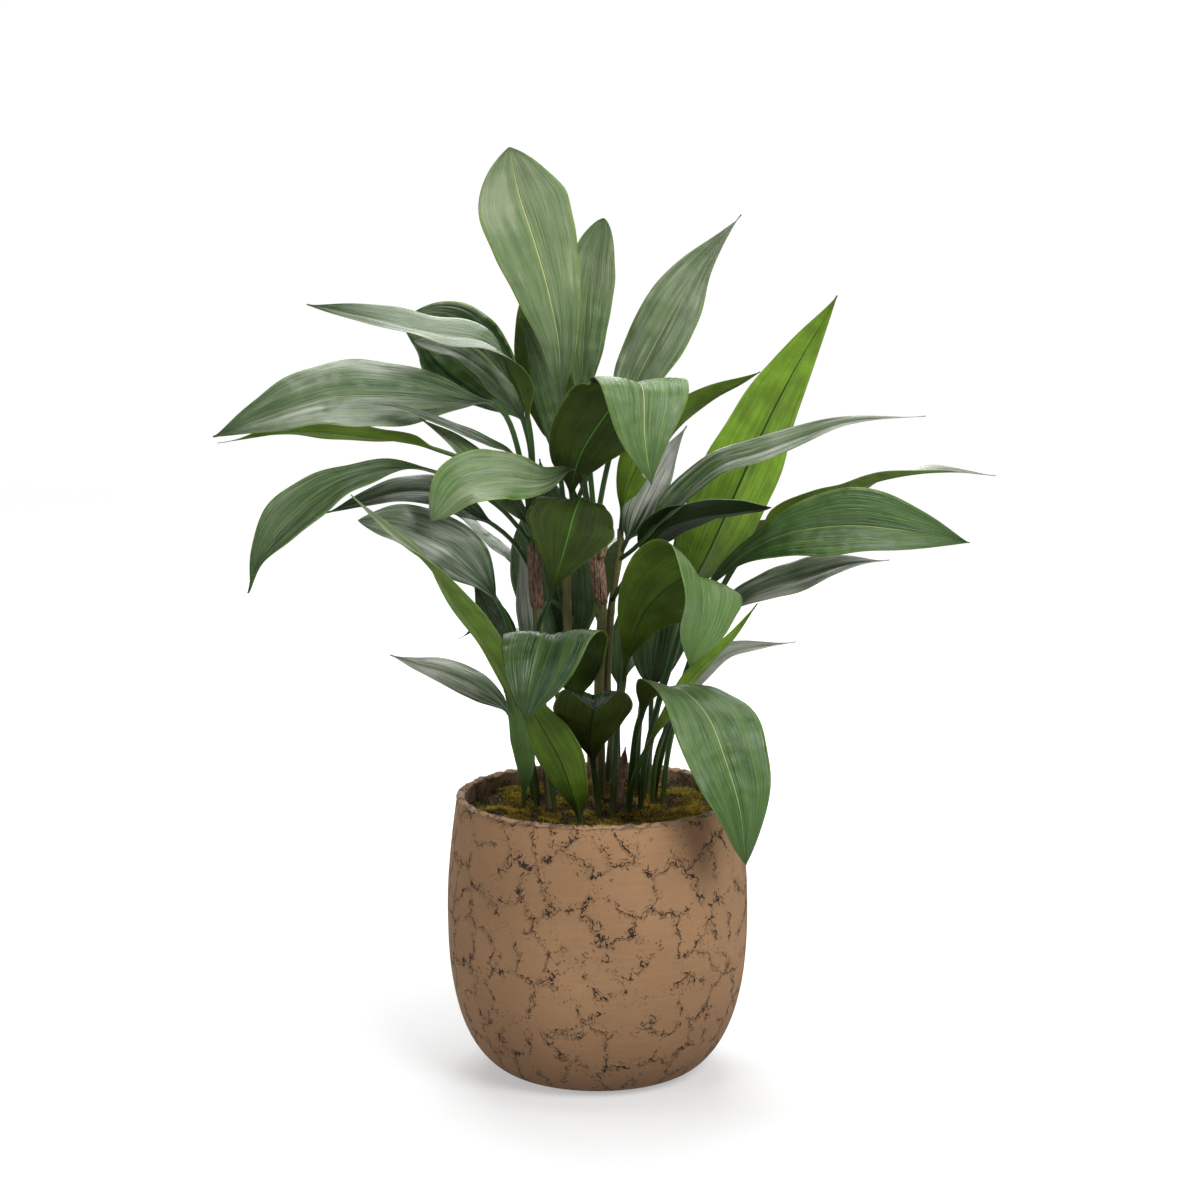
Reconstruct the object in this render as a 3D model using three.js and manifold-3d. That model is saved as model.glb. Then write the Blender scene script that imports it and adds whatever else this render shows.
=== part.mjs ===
// Potted cast iron plant: a rounded ceramic pot, soil, four leafy stems and single leaves on
// their own stalks. Millimetres, +Z up. The origin is the centre of the pot's flat foot, and
// the front of the plant looks towards -Y.
import * as THREE from "three";
import { mergeVertices } from "three/addons/utils/BufferGeometryUtils.js";
import Module from "manifold-3d";

// ---- driving dimensions -------------------------------------------------------------------
const GAP = 0.35; // clearance between touching pieces

const POT_HEIGHT = 273;
const POT_FOOT_RADIUS = 68;
const POT_BELLY_RADIUS = 145;
const POT_BELLY_HEIGHT = 155; // where the pot is widest
const POT_RIM_RADIUS = 135;
const POT_BELLY_POWER = 2.35; // how square the curve from the foot to the belly is
const POT_WALL = 9;
const POT_FLOOR = 14;
const FLOOR_CURVE = 6; // height over which the inside wall turns into the floor
const FLOOR_INSET = 8; // how much narrower the floor is than the wall above it
const POT_RIM_ROUND = 2.5; // radius of the rounded lip
const POT_SIDES = 36;

const SOIL_TOP = 253; // level of the soil, 20 below the rim
const SOIL_LUMP = 5; // how far the mossy mounds stand above that level
const SOIL_RINGS = 6;
const FOOT_BOTTOM = 235; // how deep the stalks stand in the soil

const BLADE_THICKNESS = 1;
const TIP_HALF_WIDTH = 0.5;
const CHANNEL_FOLD = 50; // degrees: how steeply a blade is channelled where it meets its stalk
const CHANNEL_END = 0.3; // part of the blade over which the channel opens out
const WAVES = 1.5; // edge waves along one blade
const WAVE_SHIFT = 0.28; // how far the left edge's waves run ahead of the right edge's
const STALK_END = 0.12; // part of the blade over which the round stalk flattens out
const STALK_STEP = 50; // length of one facet along a stalk
const BLADE_STEP = 25; // length of one facet along a blade
const NARROW_LEAF = 44; // a blade under this width has three points across instead of five
const CURVE_STEPS = 24; // samples between two points of a leaf's path

const STEM_SIDES = 10;
const SHEATH_STALK = 2.6; // radius of a dry sheath's root
const SHEATH_FOLD = 20;
const SHEATH_WIDEST = 0.3;
const SHEATH_ENDS = [1, 1];

// ---- leaves -------------------------------------------------------------------------------
// One row for each leaf: name, greatest width, stalk radius, fold of the blade in degrees,
// height of the edge waves, place of the greatest width along the blade (0 to 1), how sharply
// its foot and its tip narrow (below 1 is blunter, above 1 more drawn out), then the points of
// the stalk, the points of the blade from base to tip, and the way the upper side faces at
// even steps along the blade.
const LEFT_STEM_LEAVES = [
  ["left_top_arch", 54, 2.4, 12, 3, 0.45, [0.95, 1.2],
    [[-61, 0, 516], [-60, -12, 573]],
    [[-64, -18, 630], [-77, -26, 672], [-101, -31, 706], [-150, -34, 717], [-207, -40, 731],
     [-268, -44, 744]],
    [[0.6, 0.8, 0], [0.2, -0.45, 0.88], [0, -0.62, 0.78]]],
  ["left_top_round", 90, 2.4, 16, 3, 0.6, [0.95, 0.7],
    [[-61, 4, 516], [-62, 12, 573]],
    [[-66, 18, 622], [-94, 28, 655], [-122, 34, 684], [-154, 38, 708], [-184, 36, 722]],
    [[0, -0.9, 0.4], [0, -0.9, 0.4], [0, -0.75, 0.65]]],
  ["left_grey", 36, 2, 12, 4, 0.6, [1.1, 0.8],
    [[-61, -2, 516], [-62, -2, 566]],
    [[-67, -2, 620], [-92, 0, 664], [-130, 2, 694], [-172, 2, 706]],
    [[0, -0.6, 0.8], [0, -0.5, 0.86], [0, -0.5, 0.86]]],
  ["left_big", 78, 2.6, 12, 7, 0.5, [1.45, 1.25],
    [[-61, 0, 516], [-70, -8, 585]],
    [[-92, -12, 645], [-130, -22, 652], [-187, -34, 658], [-243, -44, 658], [-308, -50, 640],
     [-356, -50, 622]],
    [[0.1, -0.8, 0.6], [0, -0.8, 0.6], [0, -0.8, 0.6]]],
  ["left_under", 44, 2.2, 14, 2, 0.45, [0.95, 1.4],
    [[-61, 2, 516], [-95, 12, 575]],
    [[-150, 10, 602], [-215, 10, 614], [-283, 5, 620], [-358, 0, 610]],
    [[0, 0.5, 0.85], [0, 0.5, 0.85], [0, 0.4, 0.9]]],
  ["left_narrow", 18, 1.8, 20, 1, 0.45, [0.95, 1.3],
    [[-61, -2, 516], [-66, -18, 555]],
    [[-73, -26, 596], [-103, -40, 615], [-147, -60, 636], [-182, -68, 650], [-211, -68, 656]],
    [[0, -0.5, 0.86], [0, -0.5, 0.86], [0, -0.5, 0.86]]],
  ["left_short", 28, 2, 16, 1, 0.45, [0.95, 1.3],
    [[-61, -2, 510]],
    [[-64, -8, 530], [-82, -22, 557], [-108, -38, 590], [-134, -48, 618], [-165, -52, 640]],
    [[0, -0.8, 0.6], [0, -0.8, 0.6], [0, -0.7, 0.7]]],
  ["left_droop", 58, 2.2, 14, 5, 0.6, [1.3, 2.2],
    [[-61, 0, 512], [-93, -16, 552]],
    [[-143, -26, 583], [-187, -32, 590], [-235, -38, 579], [-281, -42, 548], [-314, -45, 510],
     [-327, -45, 474]],
    [[0, -0.45, 0.9], [0, -0.5, 0.86], [-0.45, -0.8, 0.4], [-0.7, -0.7, 0.1]]],
  ["left_low", 36, 2.2, 14, 2, 0.45, [0.95, 1.3],
    [[-58, 4, 478], [-78, 8, 512]],
    [[-97, 12, 529], [-118, 15, 540], [-153, 20, 560], [-188, 20, 561], [-226, 20, 551],
     [-258, 18, 541]],
    [[0, -0.7, 0.7], [0, -0.7, 0.7], [0, -0.7, 0.7]]],
  ["left_wavy", 57, 2.2, 10, 6, 0.5, [1.5, 0.8],
    [[-55, 8, 385], [-78, -18, 425]],
    [[-92, -28, 460], [-112, -41, 493], [-135, -50, 517], [-162, -55, 531], [-190, -58, 541],
     [-222, -58, 545]],
    [[-0.3, -0.8, 0.5], [-0.3, -0.75, 0.6], [0, -0.75, 0.65]]],
];
const MIDDLE_STEM_LEAVES = [
  ["crown", 85, 3, 10, 4, 0.74, [0.42, 0.8],
    [[-2, 10, 526], [-15, 2, 575]],
    [[-33, -10, 645], [-36, -20, 704], [-45, -26, 753], [-58, -32, 800], [-72, -42, 845],
     [-80, -60, 888]],
    [[0.1, -0.95, 0.2], [0, -0.97, 0.2], [0, -0.9, 0.45]]],
  ["crown_back", 50, 2.6, 12, 3, 0.6, [0.6, 0.6],
    [[-2, 12, 526], [-7, 16, 580]],
    [[-14, 18, 640], [-12, 20, 720], [-6, 20, 775], [6, 15, 820]],
    [[0.2, -0.9, 0.3], [0.2, -0.9, 0.3], [0.2, -0.9, 0.3]]],
  ["crown_right", 60, 2.6, 12, 4, 0.42, [0.95, 1.35],
    [[-2, 10, 526], [8, 13, 580]],
    [[20, 14, 625], [39, 16, 672], [62, 15, 716], [94, 10, 773], [134, 2, 824]],
    [[-0.2, -0.9, 0.35], [-0.2, -0.9, 0.35], [-0.2, -0.9, 0.35]]],
  ["middle_fold", 96, 2.6, 5, 3, 0.52, [0.6, 1.05],
    [[-2, 6, 522], [-17, -3, 540]],
    [[-24, -12, 560], [-18, -28, 597], [1, -46, 633], [32, -68, 673], [41, -90, 672],
     [43, -106, 630], [49, -112, 586]],
    [[-0.1, 0.9, 0.25], [0.1, 0.6, 0.8], [0.25, -0.5, 0.8], [0, -1, 0.1]]],
  ["middle_front", 58, 2.4, 12, 5, 0.6, [1.1, 0.75],
    [[-2, 6, 522], [-10, -6, 560]],
    [[-17, -18, 588], [-50, -44, 581], [-91, -64, 587], [-125, -78, 580], [-153, -86, 549]],
    [[0, -0.85, 0.5], [0, -0.85, 0.5], [-0.2, -0.85, 0.5]]],
  ["crown_dark", 32, 2.2, 12, 2, 0.5, [0.95, 1.3],
    [[-2, 12, 522]],
    [[-26, 16, 570], [-42, 26, 640], [-56, 28, 690], [-73, 22, 728]],
    [[0, -0.9, 0.3], [0, -0.9, 0.3], [0, -0.9, 0.3]]],
];
const RIGHT_STEM_LEAVES = [
  ["right_under", 46, 2.4, 12, 2, 0.5, [0.95, 1.1],
    [[22, 16, 518]],
    [[23, 14, 533], [27, 2, 562], [48, -6, 608], [85, -17, 643], [151, -36, 681]],
    [[0.2, 0.95, 0.1], [-0.3, 0.6, 0.7], [-0.3, 0.5, 0.8]]],
  ["right_grey", 36, 2.2, 12, 2, 0.4, [0.95, 1.3],
    [[21, 18, 500]],
    [[27, 14, 513], [40, 9, 546], [57, 5, 581], [71, 0, 606], [84, -5, 627]],
    [[0.2, -0.85, 0.4], [0.2, -0.85, 0.4], [0.2, -0.85, 0.4]]],
  ["right_narrow", 38, 2.2, 16, 2, 0.3, [0.95, 1.3],
    [[21, 18, 496], [34, 5, 508]],
    [[47, -6, 523], [89, -26, 572], [115, -36, 594], [147, -46, 606], [188, -56, 622],
     [232, -62, 637], [302, -66, 643]],
    [[0, -0.6, 0.8], [0, -0.6, 0.8], [0, -0.6, 0.8]]],
  ["right_dark", 66, 2.2, 12, 2, 0.5, [0.9, 0.85],
    [[14, 22, 456], [28, 12, 480]],
    [[40, 4, 496], [64, -6, 528], [97, -16, 541], [130, -23, 547], [163, -30, 553]],
    [[0, 0.6, 0.8], [0, 0.45, 0.85], [0, 0.4, 0.85]]],
];
const BACK_STEM_LEAVES = [
  ["back_up", 62, 2.6, 12, 3, 0.45, [0.95, 1.3],
    [[-30, 45, 516], [-33, 50, 550]],
    [[-38, 60, 590], [-50, 90, 680], [-56, 120, 755], [-60, 155, 790]],
    [[0, 0.9, 0.3], [0, 0.9, 0.4], [0, 0.8, 0.6]]],
  ["back_right_up", 52, 2.4, 12, 3, 0.45, [0.95, 1.3],
    [[-30, 45, 512], [-22, 55, 540]],
    [[-10, 62, 570], [20, 95, 640], [42, 125, 675], [60, 150, 682]],
    [[0.2, 0.8, 0.6], [0.2, 0.6, 0.8], [0.3, 0.7, 0.6]]],
  ["back_left", 50, 2.4, 12, 3, 0.45, [0.95, 1.3],
    [[-29, 48, 440], [-45, 60, 450]],
    [[-65, 75, 465], [-110, 110, 502], [-150, 145, 525], [-183, 170, 515]],
    [[-0.2, 0.3, 0.9], [-0.3, 0.5, 0.85], [-0.4, 0.6, 0.7]]],
  ["back_drop", 66, 2.6, 12, 4, 0.45, [0.95, 1.3],
    [[-29, 50, 420], [-20, 75, 440]],
    [[-14, 105, 458], [-8, 150, 485], [-4, 200, 480], [0, 240, 430], [2, 250, 385]],
    [[0, 0.2, 1], [0, 0.4, 0.9], [0, 1, 0.3]]],
  ["inner_wide", 90, 2.8, 10, 3, 0.45, [0.95, 1.3],
    [[-27, 62, 345]],
    [[-28, 68, 390], [-38, 66, 458], [-47, 66, 529], [-56, 72, 586]],
    [[0, -0.95, 0.1], [0, -0.95, 0.1], [0, -0.9, 0.3]]],
];
const SINGLE_LEAVES = [
  ["tall_right", 88, 3, 12, 4, 0.42, [0.72, 1.15],
    [[42, 45, 235], [50, 50, 300], [66, 58, 380]],
    [[80, 58, 440], [108, 52, 500], [134, 47, 560], [156, 42, 612], [180, 38, 662],
     [203, 32, 705], [226, 25, 747]],
    [[-0.4, 0.9, 0.2], [-0.4, 0.9, 0.2], [-0.4, 0.9, 0.2]]],
  ["right_far", 46, 2.8, 14, 3, 0.45, [0.95, 1.3],
    [[52, 42, 235], [62, 36, 300], [105, 18, 440]],
    [[150, 0, 520], [183, -10, 546], [230, -20, 563], [258, -28, 576], [296, -35, 585],
     [333, -40, 588], [370, -45, 585]],
    [[0, 0.45, 0.9], [0, 0.4, 0.92], [0, -0.5, 0.86]]],
  ["right_big", 72, 3, 12, 5, 0.64, [1.1, 1.05],
    [[40, 10, 236], [47, 6, 311], [70, 0, 399]],
    [[86, -6, 447], [119, -16, 490], [148, -30, 515], [181, -48, 532], [236, -72, 542],
     [290, -85, 538], [342, -90, 529]],
    [[0, -0.75, 0.66], [0, -0.75, 0.66], [0, -0.75, 0.66]]],
  ["right_low", 46, 2.6, 14, 2, 0.45, [0.95, 1.3],
    [[62, 28, 235], [69, 26, 310], [92, 19, 395]],
    [[112, 12, 436], [140, 7, 460], [164, 4, 471], [192, 0, 480], [226, -5, 492],
     [249, -8, 497], [276, -10, 500]],
    [[0, -0.5, 0.86], [0, -0.5, 0.86], [0, -0.5, 0.86]]],
  ["centre_fold", 104, 3, 10, 3, 0.6, [1.5, 1],
    [[14, -22, 235], [16, -18, 297], [19, -12, 342]],
    [[24, -4, 376], [31, -20, 420], [54, -46, 468], [92, -70, 495], [98, -92, 472],
     [85, -103, 416]],
    [[-0.1, 0.9, 0.3], [0.1, 0.7, 0.7], [0.68, 0.15, 0.72], [0.78, -0.45, 0.45],
     [0.3, -0.95, 0.1]]],
  ["right_stripe", 22, 2.6, 14, 1, 0.45, [0.95, 1.3],
    [[30, -6, 235], [33, -10, 282]],
    [[48, -17, 321], [70, -28, 357], [88, -38, 391], [125, -50, 432], [149, -60, 467]],
    [[-0.4, 0.75, 0.5], [-0.4, 0.75, 0.5], [-0.4, 0.75, 0.5]]],
  ["right_small", 26, 2.4, 12, 1, 0.5, [0.95, 1.3],
    [[53, 24, 235], [55, 21, 292]],
    [[61, 17, 318], [74, 11, 348], [96, 5, 384], [124, 0, 409], [156, -5, 416], [189, -8, 421]],
    [[-0.1, -0.45, 0.88], [0, -0.5, 0.86], [0, -0.5, 0.86]]],
  ["cup_front", 86, 2.6, 14, 1, 0.66, [1.25, 0.6],
    [[-37, -5, 235], [-54, -8, 351], [-56, -24, 437]],
    [[-46, -42, 465], [-36, -58, 499], [-27, -63, 531], [-20, -56, 555], [-14, -44, 564],
     [-10, -32, 559]],
    [[0, 1, 0.2], [0, 1, 0.2], [0, 0.95, 0.1], [0.2, 0.6, -0.7]]],
  ["low_front", 98, 3, 3, 2, 0.5, [0.95, 1],
    [[2, 8, 235], [-5, -2, 306]],
    [[-18, -18, 360], [-32, -46, 413], [-42, -76, 441], [-53, -100, 420], [-67, -114, 367]],
    [[0.3, 0.85, 0.3], [0, 0.2, 1], [-0.1, -0.97, 0.1]]],
  ["big_front", 84, 3.2, 10, 6, 0.52, [1, 0.85],
    [[29, 5, 235], [33, -5, 297]],
    [[40, -30, 350], [58, -65, 386], [80, -95, 390], [102, -120, 371], [117, -135, 335],
     [130, -145, 292], [136, -150, 240]],
    [[-0.3, 0.75, 0.5], [0.35, -0.4, 0.8], [0.3, -0.85, 0.4], [0.2, -0.95, -0.1]]],
  ["low_dark", 74, 3, 9.5, 2, 0.62, [0.95, 0.9],
    [[3, -12, 235], [0, -14, 270]],
    [[-3, -24, 300], [-7, -54, 338], [-4, -93, 372], [-4, -122, 393], [-2, -142, 383]],
    [[0, 0.75, 0.66], [0, 0.5, 0.86], [0, 0.1, 1]]],
  ["bright_front", 46, 2.8, 14, 2, 0.5, [0.9, 1.1],
    [[-16, -58, 235]],
    [[-16, -60, 256], [-24, -70, 290], [-35, -77, 322], [-50, -81, 351], [-60, -83, 371],
     [-72, -83, 399]],
    [[0.2, 0.9, 0.3], [0.2, 0.9, 0.3], [0.2, 0.9, 0.3]]],
  ["left_long", 52, 3, 16, 2, 0.42, [0.95, 1.3],
    [[-57, 20, 235], [-60, 18, 280]],
    [[-65, 14, 307], [-79, -4, 363], [-98, -32, 412], [-130, -68, 465], [-158, -100, 512],
     [-188, -112, 542], [-224, -116, 577]],
    [[0.55, 0.8, 0.3], [0.6, 0.5, 0.6], [0.5, -0.5, 0.7]]],
  ["left_blade", 22, 2.2, 12, 1, 0.5, [0.95, 1.3],
    [[-73, 5, 235], [-72, 2, 250]],
    [[-71, -2, 268], [-69, -6, 302], [-76, -10, 341], [-89, -14, 376]],
    [[0, -0.9, 0.4], [0, -0.9, 0.4], [0, -0.9, 0.4]]],
  ["left_inner", 36, 2.4, 12, 1, 0.45, [0.95, 1.3],
    [[-40, 52, 235], [-60, 46, 330]],
    [[-82, 40, 385], [-92, 40, 410], [-104, 42, 440], [-120, 42, 472]],
    [[0, -0.9, 0.35], [0, -0.9, 0.35], [0, -0.9, 0.35]]],
  ["left_lowest", 32, 2.4, 14, 1, 0.45, [0.95, 1.3],
    [[-60, 42, 235], [-70, 42, 300]],
    [[-85, 38, 341], [-112, 35, 365], [-146, 30, 383], [-175, 25, 393], [-199, 20, 403]],
    [[0, -0.8, 0.6], [0, -0.8, 0.6], [0, -0.8, 0.6]]],
  ["inner_left_up", 22, 2.4, 12, 1, 0.45, [0.95, 1.3],
    [[-44, 32, 235], [-50, 34, 330]],
    [[-62, 32, 390], [-66, 32, 430], [-70, 34, 470], [-74, 40, 505]],
    [[0, -0.95, 0.1], [0, -0.95, 0.1], [0, -0.95, 0.1]]],
  ["inner_right", 58, 2.6, 12, 3, 0.45, [0.95, 1.3],
    [[48, 62, 235], [52, 72, 310]],
    [[53, 78, 356], [58, 78, 403], [67, 82, 446], [78, 90, 487]],
    [[0, -0.95, 0.1], [0, -0.95, 0.1], [0, -0.9, 0.2]]],
  ["inner_small", 24, 2.4, 12, 1, 0.45, [0.95, 1.3],
    [[22, 82, 235], [20, 84, 320]],
    [[21, 80, 359], [21, 80, 393], [23, 82, 422], [24, 86, 443]],
    [[0, -0.95, 0.1], [0, -0.95, 0.1], [0, -0.95, 0.1]]],
  ["back_right", 54, 2.8, 12, 3, 0.45, [0.95, 1.3],
    [[38, 78, 235], [42, 84, 330]],
    [[54, 92, 400], [78, 108, 445], [115, 128, 483], [165, 150, 505], [212, 165, 503]],
    [[-0.2, 0.6, 0.8], [0.1, 0.5, 0.85], [0.3, 0.7, 0.6]]],
  ["back_low_left", 44, 2.8, 12, 3, 0.45, [0.95, 1.3],
    [[-28, 88, 235], [-34, 95, 310]],
    [[-44, 112, 360], [-62, 135, 385], [-88, 160, 400], [-116, 182, 400], [-142, 200, 385]],
    [[-0.2, 0.3, 0.9], [-0.3, 0.4, 0.85], [-0.4, 0.6, 0.7]]],
  ["back_low_right", 48, 2.8, 12, 3, 0.45, [0.95, 1.3],
    [[8, 98, 235], [14, 104, 310]],
    [[24, 118, 355], [42, 145, 385], [62, 175, 398], [80, 200, 392], [98, 222, 365]],
    [[0.2, 0.3, 0.9], [0.3, 0.4, 0.85], [0.3, 0.7, 0.6]]],
];

// One row for each stem: name, its leaves, then x, y, z and radius at points from foot to top.
// The wider stretch near the top is the old fibrous sheath that has stayed on the stem.
const STEMS = [
  ["stem_left", LEFT_STEM_LEAVES,
    [[-44, 17, 235, 5.2], [-48, 13, 293, 5], [-54, 10, 363, 4.6], [-57, 6, 445, 4.4],
      [-58, 5, 460, 6.4], [-60, 2, 500, 6.2], [-60.5, 1, 512, 5.2], [-61, 0, 528, 4.2]]],
  ["stem_middle", MIDDLE_STEM_LEAVES,
    [[2, 60, 235, 5.4], [2, 56, 300, 5.2], [1.5, 42, 366, 4.8], [3, 28, 412, 4.6],
      [4.5, 20, 448, 4.6], [3, 18, 462, 6.8], [-3, 13, 512, 6.6], [-4, 10, 534, 4.6]]],
  ["stem_right", RIGHT_STEM_LEAVES,
    [[19, 62, 235, 4.6], [16, 59, 300, 4.4], [9, 50, 366, 4.2], [11, 35, 412, 3.7],
      [13, 26, 445, 3.4], [17, 21, 475, 3.2], [21, 18, 500, 3.2], [22, 16, 526, 3]]],
  ["stem_back", BACK_STEM_LEAVES,
    [[-24, 72, 235, 5], [-27, 62, 340, 4.8], [-29, 50, 430, 4.4], [-30, 46, 480, 4.2],
      [-30, 45, 524, 4]]],
];

// Dry brown sheaths that stand in the soil beside the stalks: name, width and points.
const DRY_SHEATHS = [
  ["dry_sheath_a", 11, [[-2, 32, 235], [-3, 31, 274], [-6, 27, 305], [-9, 21, 330]]],
  ["dry_sheath_b", 12, [[22, 34, 235], [23, 33, 272], [25, 29, 294], [27, 23, 312]]],
  ["dry_sheath_c", 10, [[-30, 36, 235], [-31, 35, 272], [-34, 35, 290], [-37, 37, 306]]],
];

const wasm = await Module();
wasm.setup();

const plant = new THREE.Group();

// ---- helpers ------------------------------------------------------------------------------
const smooth = (x) => x * x * (3 - 2 * x);
const clamp01 = (x) => Math.min(Math.max(x, 0), 1);
const radians = (degrees) => (degrees * Math.PI) / 180;

function toSolid(geometry) {
  const bare = geometry.clone();
  bare.deleteAttribute("normal");
  bare.deleteAttribute("uv");
  const merged = mergeVertices(bare, 1e-3);
  return new wasm.Manifold(
    new wasm.Mesh({
      numProp: 3,
      vertProperties: new Float32Array(merged.attributes.position.array),
      triVerts: new Uint32Array(merged.index.array),
    }),
  );
}

function fromSolid(solid) {
  const mesh = solid.getMesh();
  const geometry = new THREE.BufferGeometry();
  geometry.setAttribute("position", new THREE.BufferAttribute(mesh.vertProperties, 3));
  geometry.setIndex(new THREE.BufferAttribute(mesh.triVerts, 1));
  geometry.computeVertexNormals();
  return geometry;
}

function addPiece(name, geometry, material) {
  const mesh = new THREE.Mesh(geometry, material.clone());
  mesh.name = name;
  plant.add(mesh);
}

// A closed skin over a row of rings. Each ring is `across` points over the upper side from
// left to right and as many back along the lower side, so both faces split the same way.
function skinRings(rings, across) {
  const positions = [];
  for (const ring of rings) {
    for (const point of ring) {
      positions.push(point.x, point.y, point.z);
    }
  }
  const count = 2 * across;
  const index = [];
  const at = (row, column) => row * count + column;
  const quad = (a, b, c, d) => index.push(a, b, c, a, c, d);
  for (let row = 0; row + 1 < rings.length; row += 1) {
    for (let column = 0; column + 1 < across; column += 1) {
      const under = count - 1 - column;
      quad(at(row, column), at(row, column + 1), at(row + 1, column + 1), at(row + 1, column));
      const a = at(row, under);
      const c = at(row + 1, under - 1);
      index.push(a, c, at(row, under - 1), a, at(row + 1, under), c);
    }
    quad(at(row, across - 1), at(row, across), at(row + 1, across), at(row + 1, across - 1));
    quad(at(row, count - 1), at(row, 0), at(row + 1, 0), at(row + 1, count - 1));
  }
  const last = rings.length - 1;
  for (let column = 0; column + 1 < across; column += 1) {
    const under = count - 1 - column;
    quad(at(0, column), at(0, under), at(0, under - 1), at(0, column + 1));
    quad(at(last, column), at(last, column + 1), at(last, under - 1), at(last, under));
  }
  const geometry = new THREE.BufferGeometry();
  geometry.setAttribute("position", new THREE.Float32BufferAttribute(positions, 3));
  geometry.setIndex(index);
  return geometry;
}

// ---- leaves -------------------------------------------------------------------------------
function facingAt(stations, along) {
  const place = clamp01(along) * (stations.length - 1);
  const first = Math.min(Math.floor(place), stations.length - 2);
  const blend = smooth(place - first);
  const before = new THREE.Vector3(...stations[first]).normalize();
  const after = new THREE.Vector3(...stations[first + 1]).normalize();
  return before.lerp(after, blend);
}

function bladeHalfWidth(width, widest, ends, along) {
  const shift = Math.log(0.5) / Math.log(widest);
  const sine = Math.max(Math.sin(Math.PI * clamp01(along) ** shift), 0);
  return (width / 2) * sine ** (along < widest ? ends[0] : ends[1]);
}

// The rings of one leaf. `grow` makes the stalk thicker, for the hole that it stands in.
function leafRings(row, grow = 0) {
  const [, width, stalk, fold, wave, widest, ends, foot, blade, facing] = row;
  const points = foot.concat(blade).map((point) => new THREE.Vector3(...point));
  const path = new THREE.CatmullRomCurve3(points, false, "centripetal");
  path.arcLengthDivisions = CURVE_STEPS * (points.length - 1);
  const lengths = path.getLengths();
  const total = path.getLength();
  const base = lengths[CURVE_STEPS * foot.length];
  const stalkRows = Math.max(2, Math.ceil(base / STALK_STEP));
  const bladeRows = Math.min(Math.max(Math.round((total - base) / BLADE_STEP), 6), 12);
  const across = width < NARROW_LEAF ? 3 : 5;
  const places = [];
  for (let step = 0; step < stalkRows; step += 1) {
    places.push((base * step) / stalkRows);
  }
  for (let step = 0; step <= bladeRows; step += 1) {
    places.push(base + ((total - base) * step) / bladeRows);
  }
  const rings = places.map((distance) => {
    const along = (distance - base) / (total - base);
    const part = Math.min(distance / total, 1);
    const centre = path.getPointAt(part);
    const tangent = path.getTangentAt(part);
    const up = facingAt(facing, along);
    up.addScaledVector(tangent, -up.dot(tangent)).normalize();
    const side = new THREE.Vector3().crossVectors(tangent, up);
    const opened = clamp01(1 - along / CHANNEL_END) ** 2;
    const angle = radians(fold + (CHANNEL_FOLD - fold) * opened);
    const reach = along > 0 ? bladeHalfWidth(width, widest, ends, along) : 0;
    const half = Math.max(reach, along < 0.5 ? stalk : TIP_HALF_WIDTH);
    const flat = smooth(clamp01(along / STALK_END));
    const swell = wave * Math.sqrt(Math.max(Math.sin(Math.PI * clamp01(along)), 0));
    const round = (1 - flat) * (stalk + grow);
    const ring = [];
    for (const face of [1, -1]) {
      for (let step = 0; step < across; step += 1) {
        const v = face * ((2 * step) / (across - 1) - 1);
        const turn = Math.PI * ((face > 0 ? 0.9 : -0.1) - (0.8 * step) / (across - 1));
        const phase = WAVES * along + (v < 0 ? WAVE_SHIFT : 0);
        const ripple = swell * Math.abs(v) ** 1.5 * Math.sin(2 * Math.PI * phase);
        const rise = half * Math.abs(v) * Math.sin(angle) + ripple + (face * BLADE_THICKNESS) / 2;
        const outward = flat * half * v * Math.cos(angle) + round * Math.cos(turn);
        const lift = flat * rise + round * Math.sin(turn);
        ring.push(centre.clone().addScaledVector(side, outward).addScaledVector(up, lift));
      }
    }
    return ring;
  });
  return { rings, across, stalkRows };
}

function leafGeometry(row) {
  const { rings, across } = leafRings(row);
  return skinRings(rings, across);
}

// ---- stems --------------------------------------------------------------------------------
function stemRings(points, grow = 0) {
  return points.map(([x, y, z, radius]) => {
    const ring = [];
    for (let step = 0; step < STEM_SIDES; step += 1) {
      const turn = Math.PI * (0.9 - (2 * step) / STEM_SIDES);
      ring.push(new THREE.Vector3(
        x + (radius + grow) * Math.cos(turn),
        y + (radius + grow) * Math.sin(turn),
        z,
      ));
    }
    return ring;
  });
}

function stemGeometry(points, grow = 0) {
  return skinRings(stemRings(points, grow).map((ring) => ring.slice().reverse()), STEM_SIDES / 2);
}

// ---- materials ----------------------------------------------------------------------------
function finish(colour, roughness) {
  return new THREE.MeshStandardMaterial({ color: colour, roughness, metalness: 0 });
}

const CERAMIC = finish(0xa08264, 0.85);
const SOIL = finish(0x2a2119, 0.95);
const LEAF = finish(0x3f5a3c, 0.45);
const DRY = finish(0x6a4a2e, 0.8);

// ---- pot ----------------------------------------------------------------------------------
function potOuterRadius(z) {
  if (z <= POT_BELLY_HEIGHT) {
    const below = 1 - z / POT_BELLY_HEIGHT;
    const spread = POT_BELLY_RADIUS - POT_FOOT_RADIUS;
    return POT_FOOT_RADIUS + spread * (1 - below ** POT_BELLY_POWER) ** (1 / POT_BELLY_POWER);
  }
  const above = (z - POT_BELLY_HEIGHT) / (POT_HEIGHT - POT_BELLY_HEIGHT);
  return POT_BELLY_RADIUS - (POT_BELLY_RADIUS - POT_RIM_RADIUS) * above ** 2;
}

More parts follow.
